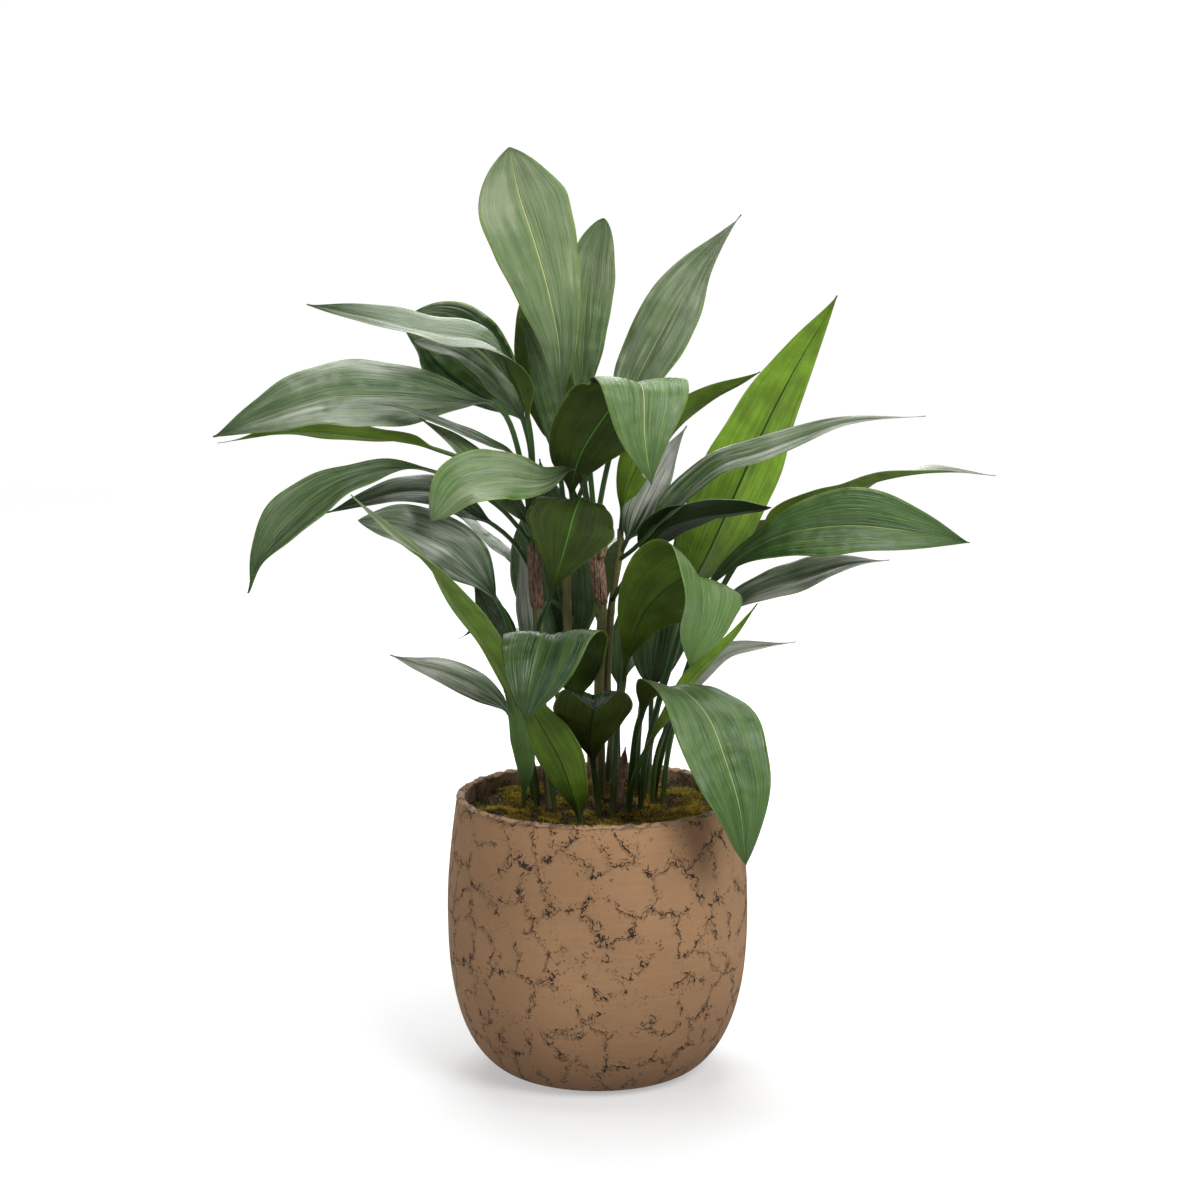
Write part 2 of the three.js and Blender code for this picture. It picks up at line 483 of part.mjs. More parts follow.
function potOuterLevels() {
  const levels = [];
  const steps = 7;
  for (let step = 0; step <= steps; step += 1) {
    levels.push(POT_BELLY_HEIGHT * (step / steps) ** 1.7);
  }
  const upper = POT_HEIGHT - POT_RIM_ROUND - POT_BELLY_HEIGHT;
  for (let step = 1; step <= 3; step += 1) {
    levels.push(POT_BELLY_HEIGHT + (upper * step) / 3);
  }
  return levels;
}

function potInnerLevels() {
  return potOuterLevels().filter((z) => z > POT_FLOOR + FLOOR_CURVE);
}

function innerRadius(z) {
  return potOuterRadius(z) - POT_WALL;
}

function potGeometry() {
  const profile = [new THREE.Vector2(0, 0)];
  for (const z of potOuterLevels()) {
    profile.push(new THREE.Vector2(potOuterRadius(z), z));
  }
  profile.push(new THREE.Vector2(POT_RIM_RADIUS - POT_RIM_ROUND, POT_HEIGHT));
  profile.push(new THREE.Vector2(POT_RIM_RADIUS - POT_WALL + POT_RIM_ROUND, POT_HEIGHT));
  for (const z of potInnerLevels().reverse()) {
    profile.push(new THREE.Vector2(innerRadius(z), z));
  }
  profile.push(new THREE.Vector2(innerRadius(POT_FLOOR + FLOOR_CURVE) - FLOOR_INSET, POT_FLOOR));
  profile.push(new THREE.Vector2(0, POT_FLOOR));
  return new THREE.LatheGeometry(profile, POT_SIDES).rotateX(Math.PI / 2);
}

// ---- soil ---------------------------------------------------------------------------------
// The mossy mounds: x, y, radius and height over the soil level.
const MOUNDS = [
  [-95, -35, 42, 9], [92, -30, 44, 8], [5, -98, 40, 6], [-80, 55, 40, 7],
  [88, 50, 40, 6], [10, 112, 36, 5],
];

function soilHeight(x, y) {
  const ripple = Math.sin(x * 0.11 + 1.3) * Math.cos(y * 0.13 - 0.4);
  let height = SOIL_TOP + 0.3 * SOIL_LUMP * ripple;
  for (const [mx, my, radius, rise] of MOUNDS) {
    const near = clamp01(1 - Math.hypot(x - mx, y - my) / radius);
    height += rise * smooth(near);
  }
  return height;
}

function soilGeometry() {
  const bottomRadius = innerRadius(POT_FLOOR + FLOOR_CURVE) - FLOOR_INSET - GAP;
  const topRadius = innerRadius(SOIL_TOP + 10) - 1.5 * GAP;
  const loops = [[bottomRadius, POT_FLOOR + GAP]];
  for (const z of potInnerLevels().filter((level) => level < SOIL_TOP - 12)) {
    loops.push([innerRadius(z) - 1.5 * GAP, z]);
  }
  const sideLoops = loops.length;
  for (let ring = 0; ring < SOIL_RINGS; ring += 1) {
    loops.push([topRadius * (1 - ring / SOIL_RINGS), 0]);
  }
  const positions = [0, 0, POT_FLOOR + GAP];
  loops.forEach(([radius, level], loop) => {
    for (let step = 0; step < POT_SIDES; step += 1) {
      const turn = (2 * Math.PI * step) / POT_SIDES;
      const x = radius * Math.sin(turn);
      const y = -radius * Math.cos(turn);
      positions.push(x, y, loop < sideLoops ? level : soilHeight(x, y));
    }
  });
  const last = positions.length / 3;
  positions.push(0, 0, soilHeight(0, 0));
  const index = [];
  const at = (loop, step) => 1 + loop * POT_SIDES + (step % POT_SIDES);
  for (let step = 0; step < POT_SIDES; step += 1) {
    index.push(0, at(0, step + 1), at(0, step));
    for (let loop = 0; loop + 1 < loops.length; loop += 1) {
      index.push(at(loop, step), at(loop, step + 1), at(loop + 1, step + 1));
      index.push(at(loop, step), at(loop + 1, step + 1), at(loop + 1, step));
    }
    index.push(at(loops.length - 1, step), at(loops.length - 1, step + 1), last);
  }
  const geometry = new THREE.BufferGeometry();
  geometry.setAttribute("position", new THREE.Float32BufferAttribute(positions, 3));
  geometry.setIndex(index);
  return geometry;
}

// ---- assembly -----------------------------------------------------------------------------
// What stands in the soil leaves a hole of its own shape, wider by the clearance.
const holes = [];

function dropRing(ring) {
  return ring.map((point) => point.clone().add(new THREE.Vector3(0, 0, -GAP)));
}

function leafHole(row) {
  const { rings, across, stalkRows } = leafRings(row, GAP);
  const buried = rings.slice(0, stalkRows + 1);
  const above = buried.findIndex((ring) => ring[0].z > SOIL_TOP + 15);
  const kept = buried.slice(0, above < 0 ? buried.length : Math.max(above + 1, 2));
  return toSolid(skinRings([dropRing(kept[0]), ...kept], across));
}

function stemHole(points) {
  const lowest = points[0].slice();
  lowest[2] -= GAP;
  return toSolid(stemGeometry([lowest, ...points.slice(0, 2)], GAP));
}

for (const [name, leaves, points] of STEMS) {
  let solid = toSolid(stemGeometry(points));
  for (const row of leaves) {
    solid = solid.add(toSolid(leafGeometry(row)));
  }
  holes.push(stemHole(points));
  addPiece(name, fromSolid(solid), LEAF);
}

for (const row of SINGLE_LEAVES) {
  holes.push(leafHole(row));
  addPiece("leaf_" + row[0], leafGeometry(row), LEAF);
}

for (const [name, width, points] of DRY_SHEATHS) {
  const foot = points.slice(0, 1);
  const tongue = points.slice(1);
  const facing = [[0, 1, 0.2], [0, 1, 0.2]];
  const shape = [width, SHEATH_STALK, SHEATH_FOLD, 0, SHEATH_WIDEST, SHEATH_ENDS];
  const row = [name, ...shape, foot, tongue, facing];
  holes.push(leafHole(row));
  addPiece(name, leafGeometry(row), DRY);
}

addPiece("pot", potGeometry(), CERAMIC);

let soil = toSolid(soilGeometry());
for (const hole of holes) {
  soil = soil.subtract(hole);
}
const soilBodies = soil.decompose().sort((a, b) => b.volume() - a.volume());
addPiece("soil", fromSolid(soilBodies[0]), SOIL);

export default plant;
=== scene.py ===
import math
from typing import NamedTuple

import bpy
import numpy as np
from bpy.props import FloatProperty, FloatVectorProperty, IntProperty, PointerProperty
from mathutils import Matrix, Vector, noise


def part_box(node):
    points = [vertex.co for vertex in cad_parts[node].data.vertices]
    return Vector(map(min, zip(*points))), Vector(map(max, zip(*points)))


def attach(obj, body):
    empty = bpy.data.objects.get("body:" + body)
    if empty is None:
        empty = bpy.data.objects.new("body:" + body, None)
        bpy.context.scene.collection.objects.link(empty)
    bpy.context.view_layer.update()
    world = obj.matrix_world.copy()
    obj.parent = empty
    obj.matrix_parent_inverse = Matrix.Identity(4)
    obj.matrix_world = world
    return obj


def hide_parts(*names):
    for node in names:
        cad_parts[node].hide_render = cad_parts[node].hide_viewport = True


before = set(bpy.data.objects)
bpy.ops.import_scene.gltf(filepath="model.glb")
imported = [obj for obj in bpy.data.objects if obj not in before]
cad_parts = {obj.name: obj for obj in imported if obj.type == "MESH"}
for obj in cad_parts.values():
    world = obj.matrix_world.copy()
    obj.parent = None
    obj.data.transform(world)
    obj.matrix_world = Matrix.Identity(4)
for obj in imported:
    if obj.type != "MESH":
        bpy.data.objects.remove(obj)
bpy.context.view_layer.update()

bl_info = {
    "name": "Potted Cast Iron Plant",
    "version": (1, 0, 0),
    "blender": (4, 5, 0),
    "location": "3D View > Sidebar > Plant",
    "description": "Pot, mossy soil, stems and leaves of a potted cast iron plant",
    "category": "Object",
}

MM = 0.001
BODY = "root"
UP = np.array([0, 0, 1.0])
NO_FACES = np.empty((0, 3), int)

# ---- the pot and the soil, in millimetres ----------------------------------------------------
POT_HEIGHT = 1000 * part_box("pot")[1][2]
POT_FOOT_RADIUS = 68
POT_BELLY_RADIUS = 145
POT_BELLY_HEIGHT = 155
POT_RIM_RADIUS = 135
POT_BELLY_POWER = 2.35
POT_WALL = 9
POT_FLOOR = 14
LIP_ROUND = 3.0
LIP_BAND = 9        # height below the top over which the lip is rough
FOOT_BAND = 12      # height over which the uneven wall begins
FLOOR_ROUND = 8
SOIL_TOP = 253

# Mossy mounds on the soil: x, y, radius and height over the soil level.
MOUNDS = [
    (-95, -35, 42, 9), (92, -30, 44, 8), (5, -98, 40, 6), (-80, 55, 40, 7),
    (88, 50, 40, 6), (10, 112, 36, 5),
]

# ---- counts, angles and starts of the random draws ------------------------------------------
SOIL_SIDES, SOIL_RINGS = 150, 46
MOSS_DRAW = 4000    # random places that are tried at a time
THIRDS = (0, 2.094, 4.189)          # angles of the three sides of a moss strand
SEEDS = {"moss": 41, "crumbs": 17, "fibres": 5}

# ---- the leaves' form, with lengths in millimetres -------------------------------------------
WAVES = 1.5             # waves along an edge
WAVE_SHIFT = 0.28       # how far the waves of one edge run ahead of the other's
STALK_END = 0.12        # share of the blade over which the round stalk flattens
CHANNEL_FOLD = 50       # fold of the blade at its foot, in degrees
CHANNEL_END = 0.3       # share of the blade over which that fold opens
TIP_HALF_WIDTH = 0.8
CREASE_ROUND = 0.05     # how softly the blade folds at its midrib, as a share of the half width
CREASE_ROUND_SQUARED = 0.0025
CROSS_ARCH = 0.05       # rise of each half between midrib and edge, as a share of the half width
RIB_DEPTH = 0.5
RIB_HALF_WIDTH = 0.9
EDGE_THICKNESS = 0.55   # thickness at the edges, as a share of the blade's
MIDDLE_GAIN = 0.45      # what is added to that towards the midrib
FINE_WAVES = 4.3        # small waves along an edge
FINE_WAVE_SHARE = 0.22  # their height, as a share of the large waves'
GROOVE_DEPTH = 0.22     # of the stalk's upper side, as a share of its radius
GROOVE_WIDTH = 0.28
THIN_LEAF = 30          # a blade narrower than this has fewer points across it
CURVE_STEPS = 24        # samples between two points of a curve
STALK_STEP = 9          # distance between two rings of a stalk
TANGENT_REACH = 1.2     # distance over which a curve's direction is measured
PLEATS = 7              # long pleats in each half of a blade
UPPER, UNDER, STALK = 0, 1, 2       # a leaf's material slots


class Leaf(NamedTuple):
    """One leaf, in millimetres, with its points as x, y and z."""
    name: str
    width: float        # greatest width of the blade
    stalk: float        # radius of the stalk
    fold: float         # rise of each half of the blade from the midrib, in degrees
    wave: float         # height of the waves at the edges
    foot: list          # points of the stalk
    blade: list         # points of the midrib
    facing: list        # ways that the upper side faces, at even steps along the blade
    widest: float = 0.45        # place of the greatest width along the blade
    ends: tuple = (0.95, 1.3)   # how sharply the foot and the tip narrow


LEFT_STEM_LEAVES = [
    Leaf("left_top_arch", 54, 2.4, 12, 3,
         [(-61, 0, 516), (-60, -12, 573)],
         [(-64, -18, 630), (-77, -26, 672), (-101, -31, 706), (-150, -34, 717), (-207, -40, 731),
          (-268, -44, 744)],
         [(0.6, 0.8, 0), (0.2, -0.45, 0.88), (0, -0.62, 0.78)], ends=(0.95, 1.2)),
    Leaf("left_top_round", 90, 2.4, 16, 3,
         [(-61, 4, 516), (-62, 12, 573)],
         [(-66, 18, 622), (-94, 28, 655), (-122, 34, 684), (-154, 38, 708), (-184, 36, 722)],
         [(0, -0.9, 0.4), (0, -0.9, 0.4), (0, -0.75, 0.65)], widest=0.6, ends=(0.95, 0.7)),
    Leaf("left_grey", 36, 2, 12, 4,
         [(-61, -2, 516), (-62, -2, 566)],
         [(-67, -2, 620), (-92, 0, 664), (-130, 2, 694), (-172, 2, 706)],
         [(0, -0.6, 0.8), (0, -0.5, 0.86), (0, -0.5, 0.86)], widest=0.6, ends=(1.1, 0.8)),
    Leaf("left_big", 78, 2.6, 12, 7,
         [(-61, 0, 516), (-70, -8, 585)],
         [(-92, -12, 645), (-130, -22, 652), (-187, -34, 658), (-243, -44, 658), (-308, -50, 640),
          (-356, -50, 622)],
         [(0.1, -0.8, 0.6), (0, -0.8, 0.6), (0, -0.8, 0.6)], widest=0.5, ends=(1.45, 1.25)),
    Leaf("left_under", 44, 2.2, 14, 2,
         [(-61, 2, 516), (-95, 12, 575)],
         [(-150, 10, 602), (-215, 10, 614), (-283, 5, 620), (-358, 0, 610)],
         [(0, 0.5, 0.85), (0, 0.5, 0.85), (0, 0.4, 0.9)], ends=(0.95, 1.4)),
    Leaf("left_narrow", 18, 1.8, 20, 1,
         [(-61, -2, 516), (-66, -18, 555)],
         [(-73, -26, 596), (-103, -40, 615), (-147, -60, 636), (-182, -68, 650), (-211, -68, 656)],
         [(0, -0.5, 0.86)]),
    Leaf("left_short", 28, 2, 16, 1,
         [(-61, -2, 510)],
         [(-64, -8, 530), (-82, -22, 557), (-108, -38, 590), (-134, -48, 618), (-165, -52, 640)],
         [(0, -0.8, 0.6), (0, -0.8, 0.6), (0, -0.7, 0.7)]),
    Leaf("left_droop", 58, 2.2, 14, 5,
         [(-61, 0, 512), (-93, -16, 552)],
         [(-143, -26, 583), (-187, -32, 590), (-235, -38, 579), (-281, -42, 548), (-314, -45, 510),
          (-327, -45, 474)],
         [(0, -0.45, 0.9), (0, -0.5, 0.86), (-0.45, -0.8, 0.4), (-0.7, -0.7, 0.1)],
         widest=0.6, ends=(1.3, 2.2)),
    Leaf("left_low", 36, 2.2, 14, 2,
         [(-58, 4, 478), (-78, 8, 512)],
         [(-97, 12, 529), (-118, 15, 540), (-153, 20, 560), (-188, 20, 561), (-226, 20, 551),
          (-258, 18, 541)],
         [(0, -0.7, 0.7)]),
    Leaf("left_wavy", 57, 2.2, 10, 6,
         [(-55, 8, 385), (-78, -18, 425)],
         [(-92, -28, 460), (-112, -41, 493), (-135, -50, 517), (-162, -55, 531), (-190, -58, 541),
          (-222, -58, 545)],
         [(-0.3, -0.8, 0.5), (-0.3, -0.75, 0.6), (0, -0.75, 0.65)], widest=0.5, ends=(1.5, 0.8)),
]
MIDDLE_STEM_LEAVES = [
    Leaf("crown", 85, 3, 10, 4,
         [(-2, 10, 526), (-15, 2, 575)],
         [(-33, -10, 645), (-36, -20, 704), (-45, -26, 753), (-58, -32, 800), (-72, -42, 845),
          (-80, -60, 888)],
         [(0.1, -0.95, 0.2), (0, -0.97, 0.2), (0, -0.9, 0.45)], widest=0.74, ends=(0.42, 0.8)),
    Leaf("crown_back", 50, 2.6, 12, 3,
         [(-2, 12, 526), (-7, 16, 580)],
         [(-14, 18, 640), (-12, 20, 720), (-6, 20, 775), (6, 15, 820)],
         [(0.2, -0.9, 0.3)], widest=0.6, ends=(0.6, 0.6)),
    Leaf("crown_right", 60, 2.6, 12, 4,
         [(-2, 10, 526), (8, 13, 580)],
         [(20, 14, 625), (39, 16, 672), (62, 15, 716), (94, 10, 773), (134, 2, 824)],
         [(-0.2, -0.9, 0.35)], widest=0.42, ends=(0.95, 1.35)),
    Leaf("middle_fold", 96, 2.6, 5, 3,
         [(-2, 6, 522), (-17, -3, 540)],
         [(-24, -12, 560), (-18, -28, 597), (1, -46, 633), (32, -68, 673), (41, -90, 672),
          (43, -106, 630), (49, -112, 586)],
         [(-0.1, 0.9, 0.25), (0.1, 0.6, 0.8), (0.25, -0.5, 0.8), (0, -1, 0.1)],
         widest=0.52, ends=(0.6, 1.05)),
    Leaf("middle_front", 58, 2.4, 12, 5,
         [(-2, 6, 522), (-10, -6, 560)],
         [(-17, -18, 588), (-50, -44, 581), (-91, -64, 587), (-125, -78, 580), (-153, -86, 549)],
         [(0, -0.85, 0.5), (0, -0.85, 0.5), (-0.2, -0.85, 0.5)], widest=0.6, ends=(1.1, 0.75)),
    Leaf("crown_dark", 32, 2.2, 12, 2,
         [(-2, 12, 522)],
         [(-26, 16, 570), (-42, 26, 640), (-56, 28, 690), (-73, 22, 728)],
         [(0, -0.9, 0.3)], widest=0.5),
]
RIGHT_STEM_LEAVES = [
    Leaf("right_under", 46, 2.4, 12, 2,
         [(22, 16, 518)],
         [(23, 14, 533), (27, 2, 562), (48, -6, 608), (85, -17, 643), (151, -36, 681)],
         [(0.2, 0.95, 0.1), (-0.3, 0.6, 0.7), (-0.3, 0.5, 0.8)], widest=0.5, ends=(0.95, 1.1)),
    Leaf("right_grey", 36, 2.2, 12, 2,
         [(21, 18, 500)],
         [(27, 14, 513), (40, 9, 546), (57, 5, 581), (71, 0, 606), (84, -5, 627)],
         [(0.2, -0.85, 0.4)], widest=0.4),
    Leaf("right_narrow", 38, 2.2, 16, 2,
         [(21, 18, 496), (34, 5, 508)],
         [(47, -6, 523), (89, -26, 572), (115, -36, 594), (147, -46, 606), (188, -56, 622),
          (232, -62, 637), (302, -66, 643)],
         [(0, -0.6, 0.8)], widest=0.3),
    Leaf("right_dark", 66, 2.2, 12, 2,
         [(14, 22, 456), (28, 12, 480)],
         [(40, 4, 496), (64, -6, 528), (97, -16, 541), (130, -23, 547), (163, -30, 553)],
         [(0, 0.6, 0.8), (0, 0.45, 0.85), (0, 0.4, 0.85)], widest=0.5, ends=(0.9, 0.85)),
]
BACK_STEM_LEAVES = [
    Leaf("back_up", 62, 2.6, 12, 3,
         [(-30, 45, 516), (-33, 50, 550)],
         [(-38, 60, 590), (-50, 90, 680), (-56, 120, 755), (-60, 155, 790)],
         [(0, 0.9, 0.3), (0, 0.9, 0.4), (0, 0.8, 0.6)]),
    Leaf("back_right_up", 52, 2.4, 12, 3,
         [(-30, 45, 512), (-22, 55, 540)],
         [(-10, 62, 570), (20, 95, 640), (42, 125, 675), (60, 150, 682)],
         [(0.2, 0.8, 0.6), (0.2, 0.6, 0.8), (0.3, 0.7, 0.6)]),
    Leaf("back_left", 50, 2.4, 12, 3,
         [(-29, 48, 440), (-45, 60, 450)],
         [(-65, 75, 465), (-110, 110, 502), (-150, 145, 525), (-183, 170, 515)],
         [(-0.2, 0.3, 0.9), (-0.3, 0.5, 0.85), (-0.4, 0.6, 0.7)]),
    Leaf("back_drop", 66, 2.6, 12, 4,
         [(-29, 50, 420), (-20, 75, 440)],
         [(-14, 105, 458), (-8, 150, 485), (-4, 200, 480), (0, 240, 430), (2, 250, 385)],
         [(0, 0.2, 1), (0, 0.4, 0.9), (0, 1, 0.3)]),
    Leaf("inner_wide", 90, 2.8, 10, 3,
         [(-27, 62, 345)],
         [(-28, 68, 390), (-38, 66, 458), (-47, 66, 529), (-56, 72, 586)],
         [(0, -0.95, 0.1), (0, -0.95, 0.1), (0, -0.9, 0.3)]),
]
SINGLE_LEAVES = [
    Leaf("tall_right", 88, 3, 12, 4,
         [(42, 45, 235), (50, 50, 300), (66, 58, 380)],
         [(80, 58, 440), (108, 52, 500), (134, 47, 560), (156, 42, 612), (180, 38, 662),
          (203, 32, 705), (226, 25, 747)],
         [(-0.4, 0.9, 0.2)], widest=0.42, ends=(0.72, 1.15)),
    Leaf("right_far", 46, 2.8, 14, 3,
         [(52, 42, 235), (62, 36, 300), (105, 18, 440)],
         [(150, 0, 520), (183, -10, 546), (230, -20, 563), (258, -28, 576), (296, -35, 585),
          (333, -40, 588), (370, -45, 585)],
         [(0, 0.45, 0.9), (0, 0.4, 0.92), (0, -0.5, 0.86)]),
    Leaf("right_big", 72, 3, 12, 5,
         [(40, 10, 236), (47, 6, 311), (70, 0, 399)],
         [(86, -6, 447), (119, -16, 490), (148, -30, 515), (181, -48, 532), (236, -72, 542),
          (290, -85, 538), (342, -90, 529)],
         [(0, -0.75, 0.66)], widest=0.64, ends=(1.1, 1.05)),
    Leaf("right_low", 46, 2.6, 14, 2,
         [(62, 28, 235), (69, 26, 310), (92, 19, 395)],
         [(112, 12, 436), (140, 7, 460), (164, 4, 471), (192, 0, 480), (226, -5, 492),
          (249, -8, 497), (276, -10, 500)],
         [(0, -0.5, 0.86)]),
    Leaf("centre_fold", 104, 3, 10, 3,
         [(14, -22, 235), (16, -18, 297), (19, -12, 342)],
         [(24, -4, 376), (31, -20, 420), (54, -46, 468), (92, -70, 495), (98, -92, 472),
          (85, -103, 416)],
         [(-0.1, 0.9, 0.3), (0.1, 0.7, 0.7), (0.68, 0.15, 0.72), (0.78, -0.45, 0.45),
          (0.3, -0.95, 0.1)], widest=0.6, ends=(1.5, 1)),
    Leaf("right_stripe", 22, 2.6, 14, 1,
         [(30, -6, 235), (33, -10, 282)],
         [(48, -17, 321), (70, -28, 357), (88, -38, 391), (125, -50, 432), (149, -60, 467)],
         [(-0.4, 0.75, 0.5)]),
    Leaf("right_small", 26, 2.4, 12, 1,
         [(53, 24, 235), (55, 21, 292)],
         [(61, 17, 318), (74, 11, 348), (96, 5, 384), (124, 0, 409), (156, -5, 416),
          (189, -8, 421)],
         [(-0.1, -0.45, 0.88), (0, -0.5, 0.86), (0, -0.5, 0.86)], widest=0.5),
    Leaf("cup_front", 86, 2.6, 14, 1,
         [(-37, -5, 235), (-54, -8, 351), (-56, -24, 437)],
         [(-46, -42, 465), (-36, -58, 499), (-27, -63, 531), (-20, -56, 555), (-14, -44, 564),
          (-10, -32, 559)],
         [(0, 1, 0.2), (0, 1, 0.2), (0, 0.95, 0.1), (0.2, 0.6, -0.7)],
         widest=0.66, ends=(1.25, 0.6)),
    Leaf("low_front", 98, 3, 3, 2,
         [(2, 8, 235), (-5, -2, 306)],
         [(-18, -18, 360), (-32, -46, 413), (-42, -76, 441), (-53, -100, 420), (-67, -114, 367)],
         [(0.3, 0.85, 0.3), (0, 0.2, 1), (-0.1, -0.97, 0.1)], widest=0.5, ends=(0.95, 1)),
    Leaf("big_front", 84, 3.2, 10, 6,
         [(29, 5, 235), (33, -5, 297)],
         [(40, -30, 350), (58, -65, 386), (80, -95, 390), (102, -120, 371), (117, -135, 335),
          (130, -145, 292), (136, -150, 240)],
         [(-0.3, 0.75, 0.5), (0.35, -0.4, 0.8), (0.3, -0.85, 0.4), (0.2, -0.95, -0.1)],
         widest=0.52, ends=(1, 0.85)),
    Leaf("low_dark", 74, 3, 9.5, 2,
         [(3, -12, 235), (0, -14, 270)],
         [(-3, -24, 300), (-7, -54, 338), (-4, -93, 372), (-4, -122, 393), (-2, -142, 383)],
         [(0, 0.75, 0.66), (0, 0.5, 0.86), (0, 0.1, 1)], widest=0.62, ends=(0.95, 0.9)),
    Leaf("bright_front", 46, 2.8, 14, 2,
         [(-16, -58, 235)],
         [(-16, -60, 256), (-24, -70, 290), (-35, -77, 322), (-50, -81, 351), (-60, -83, 371),
          (-72, -83, 399)],
         [(0.2, 0.9, 0.3)], widest=0.5, ends=(0.9, 1.1)),
    Leaf("left_long", 52, 3, 16, 2,
         [(-57, 20, 235), (-60, 18, 280)],
         [(-65, 14, 307), (-79, -4, 363), (-98, -32, 412), (-130, -68, 465), (-158, -100, 512),
          (-188, -112, 542), (-224, -116, 577)],
         [(0.55, 0.8, 0.3), (0.6, 0.5, 0.6), (0.5, -0.5, 0.7)], widest=0.42),
    Leaf("left_blade", 22, 2.2, 12, 1,
         [(-73, 5, 235), (-72, 2, 250)],
         [(-71, -2, 268), (-69, -6, 302), (-76, -10, 341), (-89, -14, 376)],
         [(0, -0.9, 0.4)], widest=0.5),
    Leaf("left_inner", 36, 2.4, 12, 1,
         [(-40, 52, 235), (-60, 46, 330)],
         [(-82, 40, 385), (-92, 40, 410), (-104, 42, 440), (-120, 42, 472)],
         [(0, -0.9, 0.35)]),
    Leaf("left_lowest", 32, 2.4, 14, 1,
         [(-60, 42, 235), (-70, 42, 300)],
         [(-85, 38, 341), (-112, 35, 365), (-146, 30, 383), (-175, 25, 393), (-199, 20, 403)],
         [(0, -0.8, 0.6)]),
    Leaf("inner_left_up", 22, 2.4, 12, 1,
         [(-44, 32, 235), (-50, 34, 330)],
         [(-62, 32, 390), (-66, 32, 430), (-70, 34, 470), (-74, 40, 505)],
         [(0, -0.95, 0.1)]),
    Leaf("inner_right", 58, 2.6, 12, 3,
         [(48, 62, 235), (52, 72, 310)],
         [(53, 78, 356), (58, 78, 403), (67, 82, 446), (78, 90, 487)],
         [(0, -0.95, 0.1), (0, -0.95, 0.1), (0, -0.9, 0.2)]),
    Leaf("inner_small", 24, 2.4, 12, 1,
         [(22, 82, 235), (20, 84, 320)],
         [(21, 80, 359), (21, 80, 393), (23, 82, 422), (24, 86, 443)],
         [(0, -0.95, 0.1)]),
    Leaf("back_right", 54, 2.8, 12, 3,
         [(38, 78, 235), (42, 84, 330)],
         [(54, 92, 400), (78, 108, 445), (115, 128, 483), (165, 150, 505), (212, 165, 503)],
         [(-0.2, 0.6, 0.8), (0.1, 0.5, 0.85), (0.3, 0.7, 0.6)]),
    Leaf("back_low_left", 44, 2.8, 12, 3,
         [(-28, 88, 235), (-34, 95, 310)],
         [(-44, 112, 360), (-62, 135, 385), (-88, 160, 400), (-116, 182, 400), (-142, 200, 385)],
         [(-0.2, 0.3, 0.9), (-0.3, 0.4, 0.85), (-0.4, 0.6, 0.7)]),
    Leaf("back_low_right", 48, 2.8, 12, 3,
         [(8, 98, 235), (14, 104, 310)],
         [(24, 118, 355), (42, 145, 385), (62, 175, 398), (80, 200, 392), (98, 222, 365)],
         [(0.2, 0.3, 0.9), (0.3, 0.4, 0.85), (0.3, 0.7, 0.6)]),
]

# Rings on a stem's skin: distance from its foot and height.
STEM_RINGS = ((40, 0.5), (96, 0.6), (168, 0.45), (214, 0.5))
STEM_RING_WIDTH = 2.2

# Stems: node, its leaves, then x, y, z and radius from the foot to the top.
STEMS = [
    ("stem_left", LEFT_STEM_LEAVES,
     [(-44, 17, 235, 5.2), (-48, 13, 293, 5), (-54, 10, 363, 4.6), (-57, 6, 445, 4.4),
      (-58, 5, 460, 4.3), (-60, 2, 500, 4.2), (-60.5, 1, 512, 4.2), (-61, 0, 528, 4)]),
    ("stem_middle", MIDDLE_STEM_LEAVES,
     [(2, 60, 235, 5.4), (2, 56, 300, 5.2), (1.5, 42, 366, 4.8), (3, 28, 412, 4.6),
      (4.5, 20, 448, 4.6), (3, 18, 462, 4.5), (-3, 13, 512, 4.4), (-4, 10, 534, 4.2)]),
    ("stem_right", RIGHT_STEM_LEAVES,
     [(19, 62, 235, 4.6), (16, 59, 300, 4.4), (9, 50, 366, 4.2), (11, 35, 412, 3.7),
      (13, 26, 445, 3.4), (17, 21, 475, 3.2), (21, 18, 500, 3.2), (22, 16, 526, 3)]),
    ("stem_back", BACK_STEM_LEAVES,
     [(-24, 72, 235, 5), (-27, 62, 340, 4.8), (-29, 50, 430, 4.4), (-30, 46, 480, 4.2),
      (-30, 45, 524, 4)]),
]

STRIP_ROWS = 12     # rings along one loose fibre
# Fibrous brown sheaths round two stems: name, node, lowest and highest level, radius.
FIBRE_SHEATHS = [
    ("fibre_sheath_left", "stem_left", 452, 516, 5.9),
    ("fibre_sheath_middle", "stem_middle", 454, 518, 6.4),
]

# The cut end of an old stalk on the middle stem: x, y, z and radius.
CUT_STUB = [(4, 6, 500, 3.4), (8, 2, 520, 3.2), (10, 1, 531, 3.0)]

# Dry husks at the foot of the stalks: name, width, then x, y, z from the foot to the tip.
DRY_SHEATHS = [
    ("dry_sheath_a", 11, [(-2, 32, 235), (-3, 31, 274), (-6, 27, 305), (-9, 21, 330)]),
    ("dry_sheath_b", 12, [(22, 34, 235), (23, 33, 272), (25, 29, 294), (27, 23, 312)]),
    ("dry_sheath_c", 10, [(-30, 36, 235), (-31, 35, 272), (-34, 35, 290), (-37, 37, 306)]),
]

